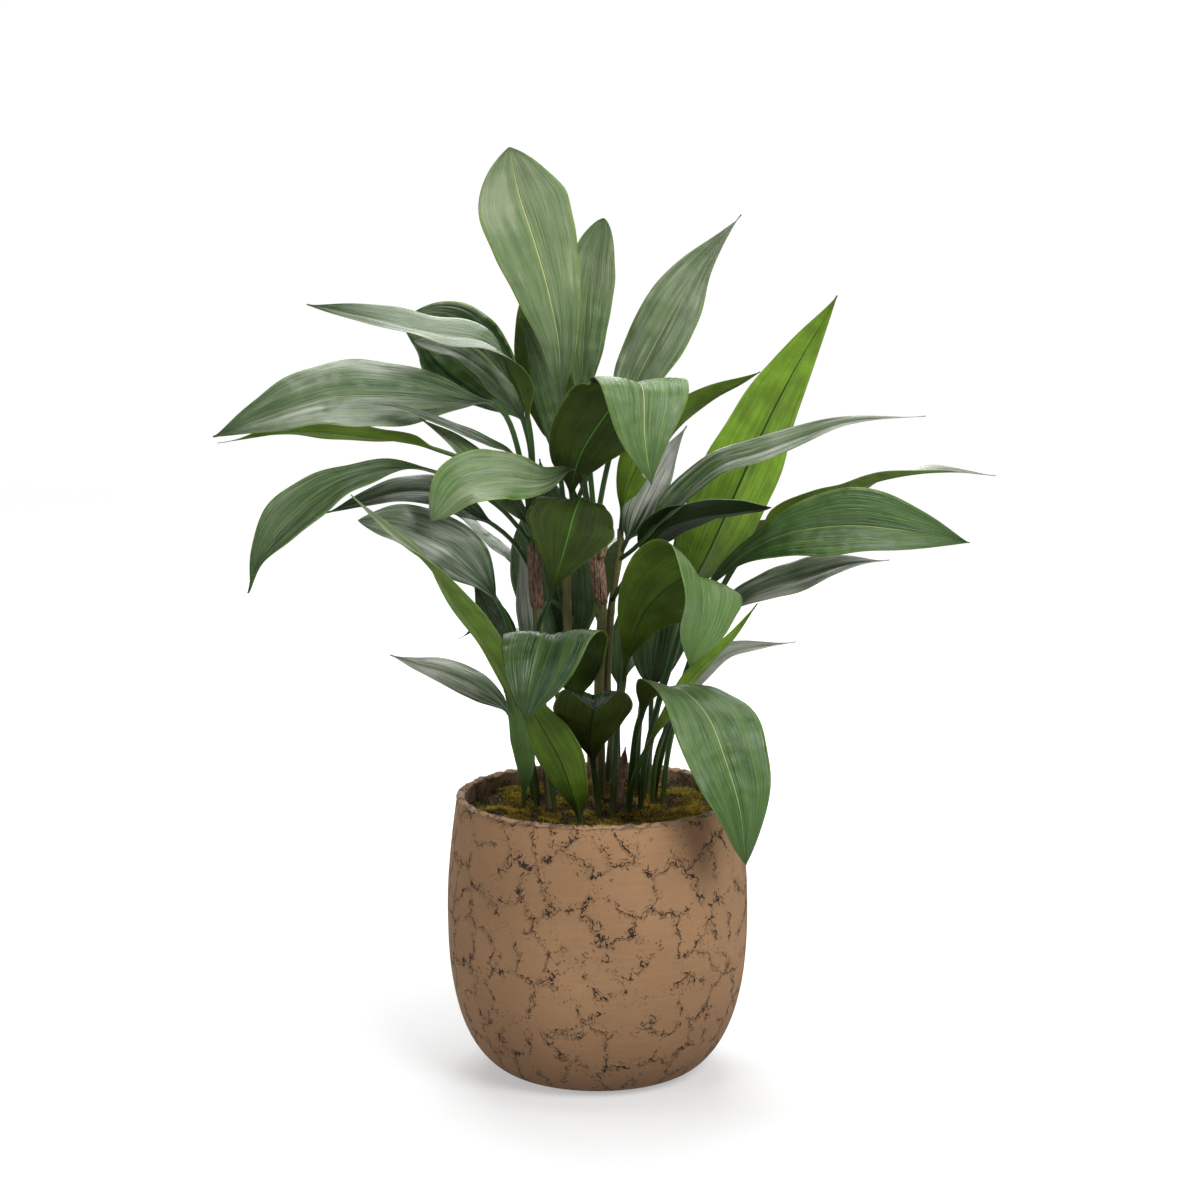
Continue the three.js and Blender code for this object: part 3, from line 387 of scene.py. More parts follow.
# How each leaf is coloured. Upper side: freshness (0 old, 1 young, under 0 in deep shade), light
# midrib, light margin, painted sheen. Under side: painted glow of light coming through, light (1) or
# dark (0) midrib, yellow tinge. A last number, where there is one, is the share of the glow that is
# left at the foot of the blade, where the blade lies in painted shade.
LOOKS = {
    "crown": ((1.0, 1.0, 0.8, 0.7), (0.4, 0.5, 0.5)),
    "crown_back": ((0.8, 0.3, 0.7, 0.5), (0.4, 0.3, 0.5)),
    "crown_right": ((0.7, 0.6, 0.7, 0.65), (0.3, 0.5, 0.5)),
    "crown_dark": ((0.45, 0.2, 0.3, 0.15), (0.1, 0.3, 0.2)),
    "middle_fold": ((0.7, 0.7, 0.4, 0.1), (0.06, 1.0, 0.5)),
    "middle_front": ((0.9, 0.3, 1.0, 0.3), (0.3, 0.4, 0.5)),
    "left_top_arch": ((0.35, 0.2, 0.5, 0.15), (0.12, 0.0, 0.4)),
    "left_top_round": ((0.0, 0.8, 1.0, 0.0), (0.1, 0.5, 0.5)),
    "left_grey": ((0.2, 0.2, 0.6, 0.15), (0.1, 0.3, 0.3)),
    "left_big": ((0.4, 0.3, 0.4, 0.24), (0.15, 0.2, 0.5)),
    "left_under": ((0.3, 0.2, 0.4, 0.2), (0.7, 0.0, 1.0)),
    "left_narrow": ((0.2, 0.2, 0.8, 0.4), (0.15, 0.2, 0.5)),
    "left_short": ((1.1, 0.2, 0.6, 0.4), (0.3, 0.2, 0.6)),
    "left_droop": ((0.4, 0.3, 0.8, 0.1), (0.2, 0.3, 0.5)),
    "left_low": ((0.15, 0.2, 0.4, 0.25), (0.1, 0.2, 0.8)),
    "left_wavy": ((0.2, 0.1, 0.3, 0.45), (0.15, 0.2, 0.4)),
    "left_lowest": ((0.6, 0.3, 0.4, 1.5), (0.2, 0.3, 0.4)),
    "right_under": ((0.3, 0.3, 0.4, 0.2), (0.5, 0.3, 0.8)),
    "right_grey": ((0.3, 0.2, 0.2, 1.8), (0.2, 0.3, 0.3)),
    "right_narrow": ((0.5, 0.2, 0.3, 0.5), (0.2, 0.3, 0.4)),
    "right_dark": ((0.1, 0.2, 0.2, 0.5), (0.0, 0.3, 0.0)),
    "tall_right": ((0.6, 0.4, 0.5, 0.2), (1.0, 0.0, 0.4), 0.1),
    "right_far": ((0.4, 0.2, 0.4, 0.6), (0.5, 0.2, 1.0), 0.6),
    "right_big": ((0.3, 0.4, 0.3, 0.0), (0.1, 0.3, 0.4)),
    "right_low": ((0.4, 0.2, 0.3, 0.3), (0.2, 0.3, 0.4)),
    "centre_fold": ((1.1, 0.3, 0.3, 0.1), (0.28, 0.3, 0.8)),
    "right_stripe": ((0.5, 0.3, 0.5, 0.2), (1.0, 0.0, 1.0), 0.4),
    "right_small": ((0.5, 0.2, 0.2, 1.6), (0.3, 0.3, 0.3)),
    "cup_front": ((0.4, 0.4, 0.5, 0.1), (0.03, 0.8, 0.5)),
    "low_front": ((0.05, 0.0, 0.3, 0.0), (0.1, 0.3, 0.4)),
    "big_front": ((0.55, 0.6, 0.3, 0.05), (0.1, 0.3, 0.7)),
    "low_dark": ((-0.5, 0.0, 0.0, 0.0), (0.0, 0.0, 0.6)),
    "bright_front": ((0.5, 0.3, 0.4, 0.2), (0.3, 0.0, 0.5), 0.2),
    "left_long": ((0.9, 0.2, 0.6, 0.5), (0.65, 0.0, 0.7), 0.1),
    "left_blade": ((1.3, 0.2, 0.4, 0.1), (0.4, 0.3, 0.4)),
    "inner_left_up": ((0.4, 0.2, 0.3, 1.8), (0.15, 0.3, 0.4)),
    "left_inner": ((-0.25, 0.2, 0.3, 0.0), (0.1, 0.3, 0.4)),
    "inner_right": ((-0.1, 0.2, 0.3, 0.0), (0.1, 0.3, 0.4)),
}
PLAIN_LOOK = ((0.15, 0.3, 0.3, 0.1), (0.1, 0.3, 0.4))

# ---- the stage, in metres -------------------------------------------------------------------
CAMERA_SHIFT = 0.0024
# Soft lights: name, place, height aimed at on the plant's axis, size, power in watts.
LIGHTS = [
    ("key", (1.4, -2.0, 2.0), 0.4, 1.4, 88),
    ("fill", (-1.9, -1.9, 1.4), 0.4, 1.6, 26),
    ("top", (0.1, 0.2, 2.5), 0.4, 1.2, 40),
    ("back", (-0.2, 1.9, 2.1), 0.5, 1.9, 62),
]


# ---- settings -------------------------------------------------------------------------------
def colour_setting(name, description, value):
    return FloatVectorProperty(
        name=name, description=description, default=value, subtype="COLOR", min=0, max=1
    )


def length_setting(name, description, value):
    return FloatProperty(
        name=name, description=description, default=value, subtype="DISTANCE", unit="LENGTH", min=0
    )


def factor_setting(name, description, value, most=1.0):
    return FloatProperty(
        name=name, description=description, default=value, subtype="FACTOR", min=0, max=most
    )


class PLANT_PG_pot(bpy.types.PropertyGroup):
    clay: colour_setting("Clay", "Main colour of the outside wall", (0.275, 0.158, 0.08))
    # Shade colours darker patches of the wall, and also the painted shade towards the foot.
    shade: colour_setting("Shade", "Darker patches of the wall", (0.165, 0.09, 0.045))
    crack: colour_setting("Crack", "Colour down in the cracks", (0.014, 0.008, 0.004))
    lip: colour_setting("Lip", "Bare, chipped lip and inside wall", (0.26, 0.185, 0.125))
    # The inside wall just over the soil is darkened with painted shade.
    inner_shade: colour_setting("Damp", "Inside wall just over the soil", (0.09, 0.065, 0.045))
    cell: length_setting("Crack cell", "Usual distance between two cracks", 0.037)
    chip: length_setting("Chip depth", "How far the lip is chipped", 0.0022)
    sides: IntProperty(name="Sides", description="Facets round the pot", default=420, min=60)
    rows: IntProperty(name="Rows", description="Facets up the wall", default=150, min=30)


class PLANT_PG_soil(bpy.types.PropertyGroup):
    earth: colour_setting("Earth", "Damp soil", (0.012, 0.008, 0.005))
    bits: colour_setting("Bits", "Light bits in the soil", (0.11, 0.08, 0.05))
    moss_dark: colour_setting("Moss, dark", "Roots of the moss", (0.034, 0.027, 0.004))
    moss_light: colour_setting("Moss, light", "Tips of the moss", (0.42, 0.3, 0.03))
    moss_dry: colour_setting("Moss, dry", "Dead strands of the moss", (0.12, 0.075, 0.02))
    strand: length_setting("Strand", "Length of a moss strand", 0.0062)
    strands: IntProperty(name="Strands", description="Moss strands", default=15000, min=0)
    crumbs: IntProperty(name="Crumbs", description="Loose crumbs of soil", default=1500, min=0)


class PLANT_PG_stems(bpy.types.PropertyGroup):
    bark: colour_setting("Stem", "Olive skin of a stem", (0.128, 0.124, 0.044))
    scar: colour_setting("Scar", "Darker rings and foot of a stem", (0.05, 0.038, 0.016))
    fibre: colour_setting("Fibre", "Dry brown fibres", (0.4, 0.25, 0.17))
    fibre_dark: colour_setting("Fibre, dark", "Shadowed fibres", (0.11, 0.055, 0.035))
    fibre_pale: colour_setting("Fibre, pale", "Bleached patches", (0.42, 0.33, 0.23))
    strips: IntProperty(name="Strips", description="Fibres in one sheath", default=54, min=6)


class PLANT_PG_leaves(bpy.types.PropertyGroup):
    deep: colour_setting("Upper, deep", "Old, blue-green upper side", (0.004, 0.032, 0.006))
    fresh: colour_setting("Upper, fresh", "Young, light upper side", (0.062, 0.142, 0.02))
    furrow: colour_setting("Furrow", "Dark lines between the veins", (0.003, 0.011, 0.004))
    patch: colour_setting("Patch", "Faint olive patches", (0.03, 0.06, 0.014))
    margin: colour_setting("Margin", "Light edge of a blade", (0.17, 0.26, 0.035))
    # Painted sheen: the two colours below stand in for the greyish reflection on an upper side that
    # lies flat, and the lighter one on a fresh blade.
    painted_sheen: colour_setting("Bloom", "Greyish wax where a blade lies flat", (0.36, 0.37, 0.35))
    fresh_painted_sheen: colour_setting("Light bloom", "Waxy bloom on a fresh blade", (0.325, 0.355, 0.245))
    rib: colour_setting("Midrib", "Light line along the middle", (0.42, 0.5, 0.17))
    under: colour_setting("Under side", "Shaded under side", (0.006, 0.018, 0.001))
    olive: colour_setting("Under side, olive", "Yellower under side", (0.028, 0.042, 0.0015))
    rib_dark: colour_setting("Under rib, dark", "Midrib in shade", (0.004, 0.012, 0.002))
    rib_lit: colour_setting("Under rib, lit", "Midrib against the light", (0.07, 0.22, 0.02))
    glow: colour_setting("Glow", "Under side with light coming through", (0.13, 0.235, 0.018))
    stalk: colour_setting("Stalk", "Leaf stalk", (0.014, 0.05, 0.006))
    dirt: colour_setting("Dirt", "Foot of a stalk, near the soil", (0.06, 0.045, 0.015))
    thickness: length_setting("Thickness", "Thickness of a blade", 0.0006)
    pleat: length_setting("Pleat", "Depth of the long pleats", 0.00028)
    columns: IntProperty(name="Columns", description="Points across a blade", default=29, min=5)
    rows: IntProperty(name="Rows", description="Points along a blade", default=66, min=8)


class PLANT_PG_stage(bpy.types.PropertyGroup):
    floor: colour_setting("Floor", "Pale floor", (0.4, 0.4, 0.4))
    paper: colour_setting("Paper", "Lighter clouds on the floor", (0.45, 0.45, 0.45))
    glow: factor_setting("Backdrop glow", "Strength of the light from the backdrop", 0.8, 5.0)
    sky: factor_setting("Surround", "Strength of the white surround", 0.12, 5.0)
    distance: length_setting("Distance", "From the camera to the plant", 3.0)
    aim: length_setting("Aim", "Height that the camera looks at", 0.46)
    elevation: FloatProperty(
        name="Elevation", description="Camera's angle above level", default=math.radians(9.8),
        subtype="ANGLE", unit="ROTATION",
    )
    lens: FloatProperty(
        name="Lens", description="Focal length", default=94.7, subtype="DISTANCE_CAMERA",
        unit="CAMERA",
    )


# ---- small maths ----------------------------------------------------------------------------
def smooth(x):
    return x * x * (3 - 2 * x)


def unit(vectors):
    return vectors / np.linalg.norm(vectors, axis=-1, keepdims=True)


def round_turn(sides):
    return 2 * np.pi * np.arange(sides) / sides


def spokes(turn, across=False):
    """Level unit vectors that point out at an angle, or go across it."""
    if across:
        return np.stack([-np.sin(turn), np.cos(turn), 0 * turn], -1)
    return np.stack([np.cos(turn), np.sin(turn), 0 * turn], -1)


def waver(points, scale, seed):
    """Smooth noise from -1 to 1 at an array of points in millimetres."""
    return np.array([
        noise.noise((x + seed, y - seed, z + 0.37 * seed)) for x, y, z in points * scale
    ])


def curve_points(points):
    """Centripetal Catmull-Rom curve through the points, CURVE_STEPS samples to a span."""
    given = np.asarray(points, float)
    last = len(given) - 1
    w = (np.arange(CURVE_STEPS) / CURVE_STEPS)[:, None]
    out = []
    for span in range(last):
        p1, p2 = given[span], given[span + 1]
        p0 = given[span - 1] if span > 0 else 2 * p1 - p2
        p3 = given[span + 2] if span + 2 <= last else 2 * p2 - p1
        d0, d1, d2 = (math.dist(a, b) ** 0.5 for a, b in ((p0, p1), (p1, p2), (p2, p3)))
        t1 = ((p1 - p0) / d0 - (p2 - p0) / (d0 + d1) + (p2 - p1) / d1) * d1
        t2 = ((p2 - p1) / d1 - (p3 - p1) / (d1 + d2) + (p3 - p2) / d2) * d1
        out.append(p1 + t1 * w + (-3 * p1 + 3 * p2 - 2 * t1 - t2) * w**2
                   + (2 * p1 - 2 * p2 + t1 + t2) * w**3)
    out.append(given[-1:])
    return np.vstack(out)


def arc_lengths(samples):
    return np.r_[0, np.cumsum(np.linalg.norm(np.diff(samples, axis=0), axis=1))]


def along_curve(samples, lengths, distance):
    return np.stack([np.interp(distance, lengths, samples[:, k]) for k in range(3)], -1)


# ---- meshes ---------------------------------------------------------------------------------
def grid_quads(rows, columns):
    """Quads of a grid of rows by columns that closes round on itself."""
    i, j = np.meshgrid(np.arange(rows - 1), np.arange(columns), indexing="ij")
    here, after = i * columns + j, i * columns + (j + 1) % columns
    return np.stack([here, after, after + columns, here + columns], -1).reshape(-1, 4)


def end_caps(rows, sides):
    """Triangles that close both ends of such a grid on two points, which come after it."""
    middle, ring = rows * sides, np.arange(sides)
    after = (ring + 1) % sides
    far = (rows - 1) * sides
    return np.vstack([
        np.stack([after, ring, np.full(sides, middle)], -1),
        np.stack([ring + far, after + far, np.full(sides, middle + 1)], -1),
    ])


def repeated(faces, count, points):
    """The faces of one small thing, once for each of many things of so many points."""
    faces = np.asarray(faces)
    return ((points * np.arange(count))[:, None, None] + faces).reshape(-1, faces.shape[1])


def new_piece(name, vertices, quads, triangles, materials, uvs=None, slots=None, flat=None):
    """A mesh object. Vertices are in millimetres, and each has one uv. Slots and flat shading
    are given face by face, quads first."""
    mesh = bpy.data.meshes.new(name)
    corners = np.r_[np.ravel(quads), np.ravel(triangles)].astype(np.int32)
    sizes = np.r_[np.full(len(quads), 4), np.full(len(triangles), 3)]
    starts = np.r_[0, np.cumsum(sizes)[:-1]].astype(np.int32)
    mesh.vertices.add(len(vertices))
    mesh.vertices.foreach_set("co", (np.asarray(vertices, float) * MM).ravel())
    mesh.loops.add(len(corners))
    mesh.loops.foreach_set("vertex_index", corners)
    mesh.polygons.add(len(sizes))
    mesh.polygons.foreach_set("loop_start", starts)
    smooth_faces = np.ones(len(sizes), bool) if flat is None else ~np.asarray(flat, bool)
    mesh.polygons.foreach_set("use_smooth", smooth_faces)
    for material in materials:
        mesh.materials.append(material)
    if slots is not None:
        mesh.polygons.foreach_set("material_index", np.asarray(slots, np.int32))
    if uvs is not None:
        layer = mesh.uv_layers.new(name="UVMap")
        layer.data.foreach_set("uv", np.asarray(uvs, float)[corners].ravel())
    mesh.update(calc_edges=True)
    mesh.validate()
    piece = bpy.data.objects.new(name, mesh)
    bpy.context.scene.collection.objects.link(piece)
    return piece


def finish_piece(piece, node):
    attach(piece, BODY)
    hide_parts(node)


def set_look(piece, name, values):
    layer = piece.data.attributes.new(name=name, type="FLOAT_VECTOR", domain="POINT")
    layer.data.foreach_set("vector", np.asarray(values, float).ravel())


# ---- node trees -----------------------------------------------------------------------------
class Flow:
    """A value, vector or colour that changes over a surface, held as the socket it comes from."""

    def __init__(self, socket):
        self.socket = socket
        self.tree = socket.id_data

    def __add__(self, other):
        return maths("ADD", self, other)

    def __radd__(self, other):
        return maths("ADD", other, self)

    def __sub__(self, other):
        return maths("SUBTRACT", self, other)

    def __rsub__(self, other):
        return maths("SUBTRACT", other, self)

    def __mul__(self, other):
        return maths("MULTIPLY", self, other)

    def __truediv__(self, other):
        return maths("DIVIDE", self, other)

    def __rtruediv__(self, other):
        return maths("DIVIDE", other, self)


def plug(socket, value):
    if isinstance(value, Flow):
        value.tree.links.new(value.socket, socket)
    else:
        socket.default_value = value


def node(tree, kind, inputs=(), **settings):
    made = tree.nodes.new(kind)
    for key, value in settings.items():
        setattr(made, key, value)
    for key, value in dict(inputs).items():
        plug(made.inputs[key], value)
    return made


def flows(made):
    return {socket.name: Flow(socket) for socket in made.outputs}


def tree_of(*values):
    return next(value.tree for value in values if isinstance(value, Flow))


def maths(operation, a, b=0.0):
    made = node(tree_of(a, b), "ShaderNodeMath", operation=operation)
    for socket, value in zip(made.inputs, (a, b, 0.0)):
        plug(socket, value)
    return Flow(made.outputs[0])


def ramp(value, low, high, start=0.0, end=1.0):
    """From start to end, smoothly, as the value goes from low to high."""
    made = node(value.tree, "ShaderNodeMapRange", {
        "Value": value, "From Min": low, "From Max": high, "To Min": start, "To Max": end,
    }, interpolation_type="SMOOTHSTEP")
    return Flow(made.outputs["Result"])


def blend(factor, a, b):
    made = node(tree_of(factor, a, b), "ShaderNodeMix", data_type="RGBA")
    plug(made.inputs["Factor"], factor)
    for socket, colour in zip(made.inputs[6:8], (a, b)):
        plug(socket, colour if isinstance(colour, Flow) else (*colour, 1.0))
    return Flow(made.outputs[2])


def toned(colour, brightness):
    made = node(colour.tree, "ShaderNodeHueSaturation", {"Color": colour, "Value": brightness})
    return Flow(made.outputs["Color"])


def grain(vector, scale, detail=2.0, rough=0.5):
    made = node(vector.tree, "ShaderNodeTexNoise", {
        "Vector": vector, "Scale": scale, "Detail": detail, "Roughness": rough,
    })
    return Flow(made.outputs["Fac"])


def mottled(vector, scale, low, high, detail=2.0, rough=0.5, start=0.0, end=1.0):
    """Soft patches: a grain, sharpened between the levels low and high."""
    return ramp(grain(vector, scale, detail, rough), low, high, start, end)


def place(tree):
    return flows(node(tree, "ShaderNodeTexCoord"))["Object"]


def drawn_out(vector, length):
    """The same place, scaled along Z, so that a grain on it runs along or across."""
    made = node(vector.tree, "ShaderNodeMapping", {"Vector": vector, "Scale": (1.0, 1.0, length)})
    return Flow(made.outputs["Vector"])


def parts(vector):
    made = node(vector.tree, "ShaderNodeSeparateXYZ", {"Vector": vector})
    return [Flow(socket) for socket in made.outputs]


def joined(tree, x, y, z=0.0):
    made = node(tree, "ShaderNodeCombineXYZ", {"X": x, "Y": y, "Z": z})
    return Flow(made.outputs["Vector"])


def bump(height, distance):
    made = node(height.tree, "ShaderNodeBump", {"Height": height, "Distance": distance})
    return Flow(made.outputs["Normal"])


def new_group(name, inputs, outputs):
    tree = bpy.data.node_groups.new(name, "ShaderNodeTree")
    number = "NodeSocketFloat"
    for label, value in inputs:
        socket = tree.interface.new_socket(name=label, in_out="INPUT", socket_type=number)
        socket.default_value = value
    for label in outputs:
        tree.interface.new_socket(name=label, in_out="OUTPUT", socket_type=number)
    return tree, flows(tree.nodes.new("NodeGroupInput")), tree.nodes.new("NodeGroupOutput").inputs


def use_group(tree, name, inputs=()):
    made = tree.nodes.new("ShaderNodeGroup")
    made.node_tree = bpy.data.node_groups[name]
    for key, value in dict(inputs).items():
        plug(made.inputs[key], value)
    return flows(made)


def new_material(name, roughness, specular, coat=0.0, coat_roughness=0.3):
    material = bpy.data.materials.new(name)
    material.use_nodes = True
    tree = material.node_tree
    tree.nodes.clear()
    shader = node(tree, "ShaderNodeBsdfPrincipled", {
        "Roughness": roughness, "Specular IOR Level": specular, "Coat Weight": coat,
        "Coat Roughness": coat_roughness,
    })
    output = node(tree, "ShaderNodeOutputMaterial")
    tree.links.new(shader.outputs["BSDF"], output.inputs["Surface"])
    return material, tree, shader.inputs


def crackle_group():
    """Broken, branching cracks round uneven cells on a round wall, with small pits by them."""
    if "Crackle" in bpy.data.node_groups:
        return
    tree, given, out = new_group(
        "Crackle", [("Cell Size", 0.036), ("Line Width", 0.0006), ("Wear", 0.5)],
        ["Crack", "Height"],
    )
    position = place(tree)
    x, y, z = parts(position)
    unrolled = joined(tree, maths("ARCTAN2", x, y * -1.0) * (POT_BELLY_RADIUS * MM), z)
    # Bent at four sizes, so that no crack runs straight.
    for scale, reach in ((26.0, 0.03), (90.0, 0.018), (300.0, 0.006), (900.0, 0.002)):
        cloud = node(tree, "ShaderNodeTexNoise", {"Vector": position, "Scale": scale})
        shift = node(tree, "ShaderNodeVectorMath", operation="MULTIPLY_ADD")
        for socket, value in zip(shift.inputs, (flows(cloud)["Color"], (reach,) * 3, unrolled)):
            plug(socket, value)
        unrolled = Flow(shift.outputs[0])

    def away_from_edges(size):
        cells = node(tree, "ShaderNodeTexVoronoi", {"Vector": unrolled, "Scale": 1.0 / size},
                     feature="DISTANCE_TO_EDGE", voronoi_dimensions="2D")
        return flows(cells)["Distance"] * size

    # Main cracks, of uneven width and broken off in places.
    away = away_from_edges(given["Cell Size"])
    width = given["Line Width"] * mottled(position, 110.0, 0.38, 0.68, 3.0, 0.7, 0.35, 2.4)
    whole = mottled(position, 40.0, 0.44, 0.49, 3.0, 0.6)
    main = ramp(away / width, 1.0, 0.5) * whole
    # Thin twigs that branch off near a main crack.
    twig = away_from_edges(given["Cell Size"] * 0.22)
    thin = ramp(twig / width, 0.85, 0.4) * ramp(away, 0.006, 0.003)
    twigs = thin * (mottled(position, 95.0, 0.46, 0.53) * whole)
    # Pits in the worn clay beside the cracks.
    pits = mottled(position, 420.0, 0.64, 0.68, 2.0, 0.6) * ramp(away, 0.009, 0.002)
    crack = maths("MAXIMUM", main, maths("MAXIMUM", twigs, pits * given["Wear"]))
    plug(out["Crack"], crack)
    # The clay stands a little proud along a crack.
    raised = ramp(away, 0.0034, 0.001) * whole
    skin = grain(position, 190.0, 3.0, 0.6) * 0.5
    plug(out["Height"], skin + raised * 0.7 - crack * 2.2)


def blade_group():
    """Long veins, pleats, midrib and margin, laid out by a blade's own coordinates."""
    if "Blade" in bpy.data.node_groups:
        return
    tree, given, out = new_group(
        "Blade", [("Vein Count", 60.0), ("Rib Width", 0.012), ("Margin Width", 0.05)],
        ["Streak", "Sheen", "Height", "Midrib", "Margin"],
    )
    across, along, _ = parts(flows(node(tree, "ShaderNodeUVMap"))["UV"])

    def streaks(count, run, seed, detail=2.0):
        return grain(joined(tree, across * count, along * run, seed), 1.0, detail)

    veins = streaks(given["Vein Count"], 0.8, 0.0)
    bands = streaks(13.0, 1.3, 7.0)
    fine = streaks(given["Vein Count"] * 2.2, 2.0, 3.0, 1.0)
    middle = maths("ABSOLUTE", across - 0.5)
    rib = ramp(middle / given["Rib Width"], 1.0, 0.45)
    uneven = given["Margin Width"] * ramp(streaks(2.0, 14.0, 5.0), 0.3, 0.7, 0.3, 1.2)
    plug(out["Streak"], veins * 0.55 + bands * 0.45)
    plug(out["Sheen"], bands)
    plug(out["Midrib"], rib)
    plug(out["Margin"], ramp((0.5 - middle) / uneven, 1.0, 0.15))
    plug(out["Height"], veins * 0.8 + fine * 0.35 - rib * 1.2)


def look_of(tree, name):
    return parts(flows(node(tree, "ShaderNodeAttribute", attribute_name=name))["Vector"])


def leaf_upper_material(s):
    material, tree, shader = new_material("leaf_upper", 0.4, 0.34, 0.3, 0.24)
    blade = use_group(tree, "Blade", {"Vein Count": 34.0, "Rib Width": 0.015, "Margin Width": 0.06})
    position = place(tree)
    fresh, rib, margin = look_of(tree, "upper_look")
    painted_sheen, along, _ = look_of(tree, "bloom_look")
    # Green, darker towards the foot of the blade as painted shade, with lighter veins and darker
    # furrows.
    base = blend(fresh * ramp(along, 0.0, 0.6, 0.4, 1.1), s.deep, s.fresh)
    lighter, darker = blend(0.22, base, s.margin), blend(0.45, base, s.furrow)
    veined = blend(ramp(blade["Streak"], 0.34, 0.66), darker, lighter)
    colour = blend(0.95 - fresh * 0.4, base, veined)
    colour = blend(mottled(position, 22.0, 0.35, 0.7, 3.0) * 0.12, colour, s.patch)
    # Painted sheen in soft clouds, greyish like a reflection, with brighter streaks of painted
    # highlight, less of it on a fresh blade.
    cloudy = blade["Sheen"] + grain(position, 14.0) * 0.8
    painted_glints = ramp(cloudy, 0.94, 1.14, 0.0, 1.8)
    clouds = ramp(cloudy, 0.66, 1.04, -0.9, 0.6) + painted_glints
    sheen_mask = clouds * (1.0 - fresh * 0.45) + ramp(along, 0.0, 0.75, 0.45, 1.2)
    colour = blend(painted_sheen * sheen_mask, colour, blend(fresh, s.painted_sheen, s.fresh_painted_sheen))
    # A blade with less freshness than none lies in deep shade.
    colour = toned(colour, ramp(fresh, -0.5, 0.0, 0.3, 1.0))
    colour = blend(blade["Margin"] * (margin * 0.8), colour, s.margin)
    colour = blend(blade["Midrib"] * (rib * 0.85), colour, s.rib)
    plug(shader["Base Color"], colour)
    plug(shader["Roughness"], fresh * 0.16 + ramp(blade["Sheen"], 0.3, 0.7, 0.24, 0.44))
    plug(shader["Coat Weight"], ramp(blade["Sheen"], 0.42, 0.6, 1.0, 0.15) * (painted_sheen + 0.1))
    dents = grain(position, 45.0, 1.0) * 2.2
    plug(shader["Normal"], bump(blade["Height"] + dents, 0.0022))
    return material


def leaf_under_material(s):
    material, tree, shader = new_material("leaf_under", 0.6, 0.18)
    blade = use_group(tree, "Blade", {"Vein Count": 30.0, "Rib Width": 0.016, "Margin Width": 0.035})
    glow, rib, yellow = look_of(tree, "under_look")
    base = blend(glow, blend(yellow, s.under, s.olive), s.glow)
    dents = grain(place(tree), 38.0)
    streak = ramp(blade["Streak"] + dents * 0.8, 0.68, 1.12, 0.72, 1.28)
    ribs = blend(rib, s.rib_dark, s.rib_lit)
    colour = blend(blade["Midrib"] * 0.85, toned(base, streak), ribs)
    plug(shader["Base Color"], blend(blade["Margin"] * 0.35, colour, s.margin))
    plug(shader["Normal"], bump(blade["Height"] + dents * 2.2, 0.0016))
    return material


def stalk_material(s):
    material, tree, shader = new_material("leaf_stalk", 0.42, 0.35)
    blade = use_group(tree, "Blade", {"Vein Count": 16.0})
    glow, _, _ = look_of(tree, "under_look")
    _, _, level = parts(place(tree))
    base = blend(glow * 0.45, s.stalk, s.glow)
    colour = blend(ramp(level, 0.3, 0.25) * 0.55, base, s.dirt)
    plug(shader["Base Color"], toned(colour, ramp(blade["Streak"], 0.3, 0.7, 0.7, 1.3)))
    plug(shader["Normal"], bump(blade["Height"], 0.0008))
    return material


def clay_material(s):
    material, tree, shader = new_material("clay_wall", 0.86, 0.25)
    position = place(tree)
    _, _, level = parts(position)
    cracks = use_group(tree, "Crackle", {"Cell Size": s.cell, "Line Width": 0.0005, "Wear": 0.8})
    colour = blend(mottled(position, 9.0, 0.3, 0.7, 4.0, 0.6) * 0.4, s.clay, s.shade)
    # Painted shade: the wall darkens towards the foot.
    colour = blend(ramp(level, 0.11, 0.0) * 0.8, colour, s.shade)
    # Faint level brush marks and dark speckles.
    brushed = mottled(drawn_out(position, 14.0), 26.0, 0.3, 0.7, 3.0, 0.5, 0.97, 1.03)
    colour = blend(mottled(position, 420.0, 0.62, 0.72) * 0.25, toned(colour, brushed), s.shade)
    plug(shader["Base Color"], blend(cracks["Crack"] * 0.97, colour, s.crack))
    plug(shader["Normal"], bump(cracks["Height"], 0.0011))
    return material


def lip_material(s):
    material, tree, shader = new_material("clay_lip", 0.92, 0.2)
    position = place(tree)
    _, _, level = parts(position)
    cracks = use_group(tree, "Crackle", {"Cell Size": 0.02, "Line Width": 0.0007, "Wear": 1.0})
    colour = blend(mottled(position, 70.0, 0.35, 0.7, 4.0, 0.65), s.lip, s.clay)
    # Painted shade on the inside wall, darkest just over the soil.
    colour = blend(ramp(level, 0.268, 0.25) * 0.6, colour, s.inner_shade)
    plug(shader["Base Color"], blend(cracks["Crack"] * 0.5, colour, s.crack))
    plug(shader["Normal"], bump(cracks["Height"], 0.0012))
    return material


def soil_material(s):
    material, tree, shader = new_material("damp_soil", 0.95, 0.08)
    position = place(tree)
    patches = mottled(position, 38.0, 0.4, 0.62, 4.0, 0.65)
    bits = mottled(position, 340.0, 0.4, 0.7, 3.0, 0.7)
    colour = blend(patches * 0.55, s.earth, s.moss_dark)
    plug(shader["Base Color"], blend(bits * 0.5, colour, s.bits))
    plug(shader["Normal"], bump(grain(position, 300.0, 4.0, 0.7), 0.0022))
    return material


def moss_material(s):
    material, tree, shader = new_material("moss_strands", 0.85, 0.1)
    dry, height, _ = parts(flows(node(tree, "ShaderNodeUVMap"))["UV"])
    tone = mottled(place(tree), 60.0, 0.35, 0.68, 3.0)
    colour = blend(height * (0.25 + tone * 0.75), s.moss_dark, s.moss_light)
    plug(shader["Base Color"], blend(dry * 0.45, colour, s.moss_dry))
    return material


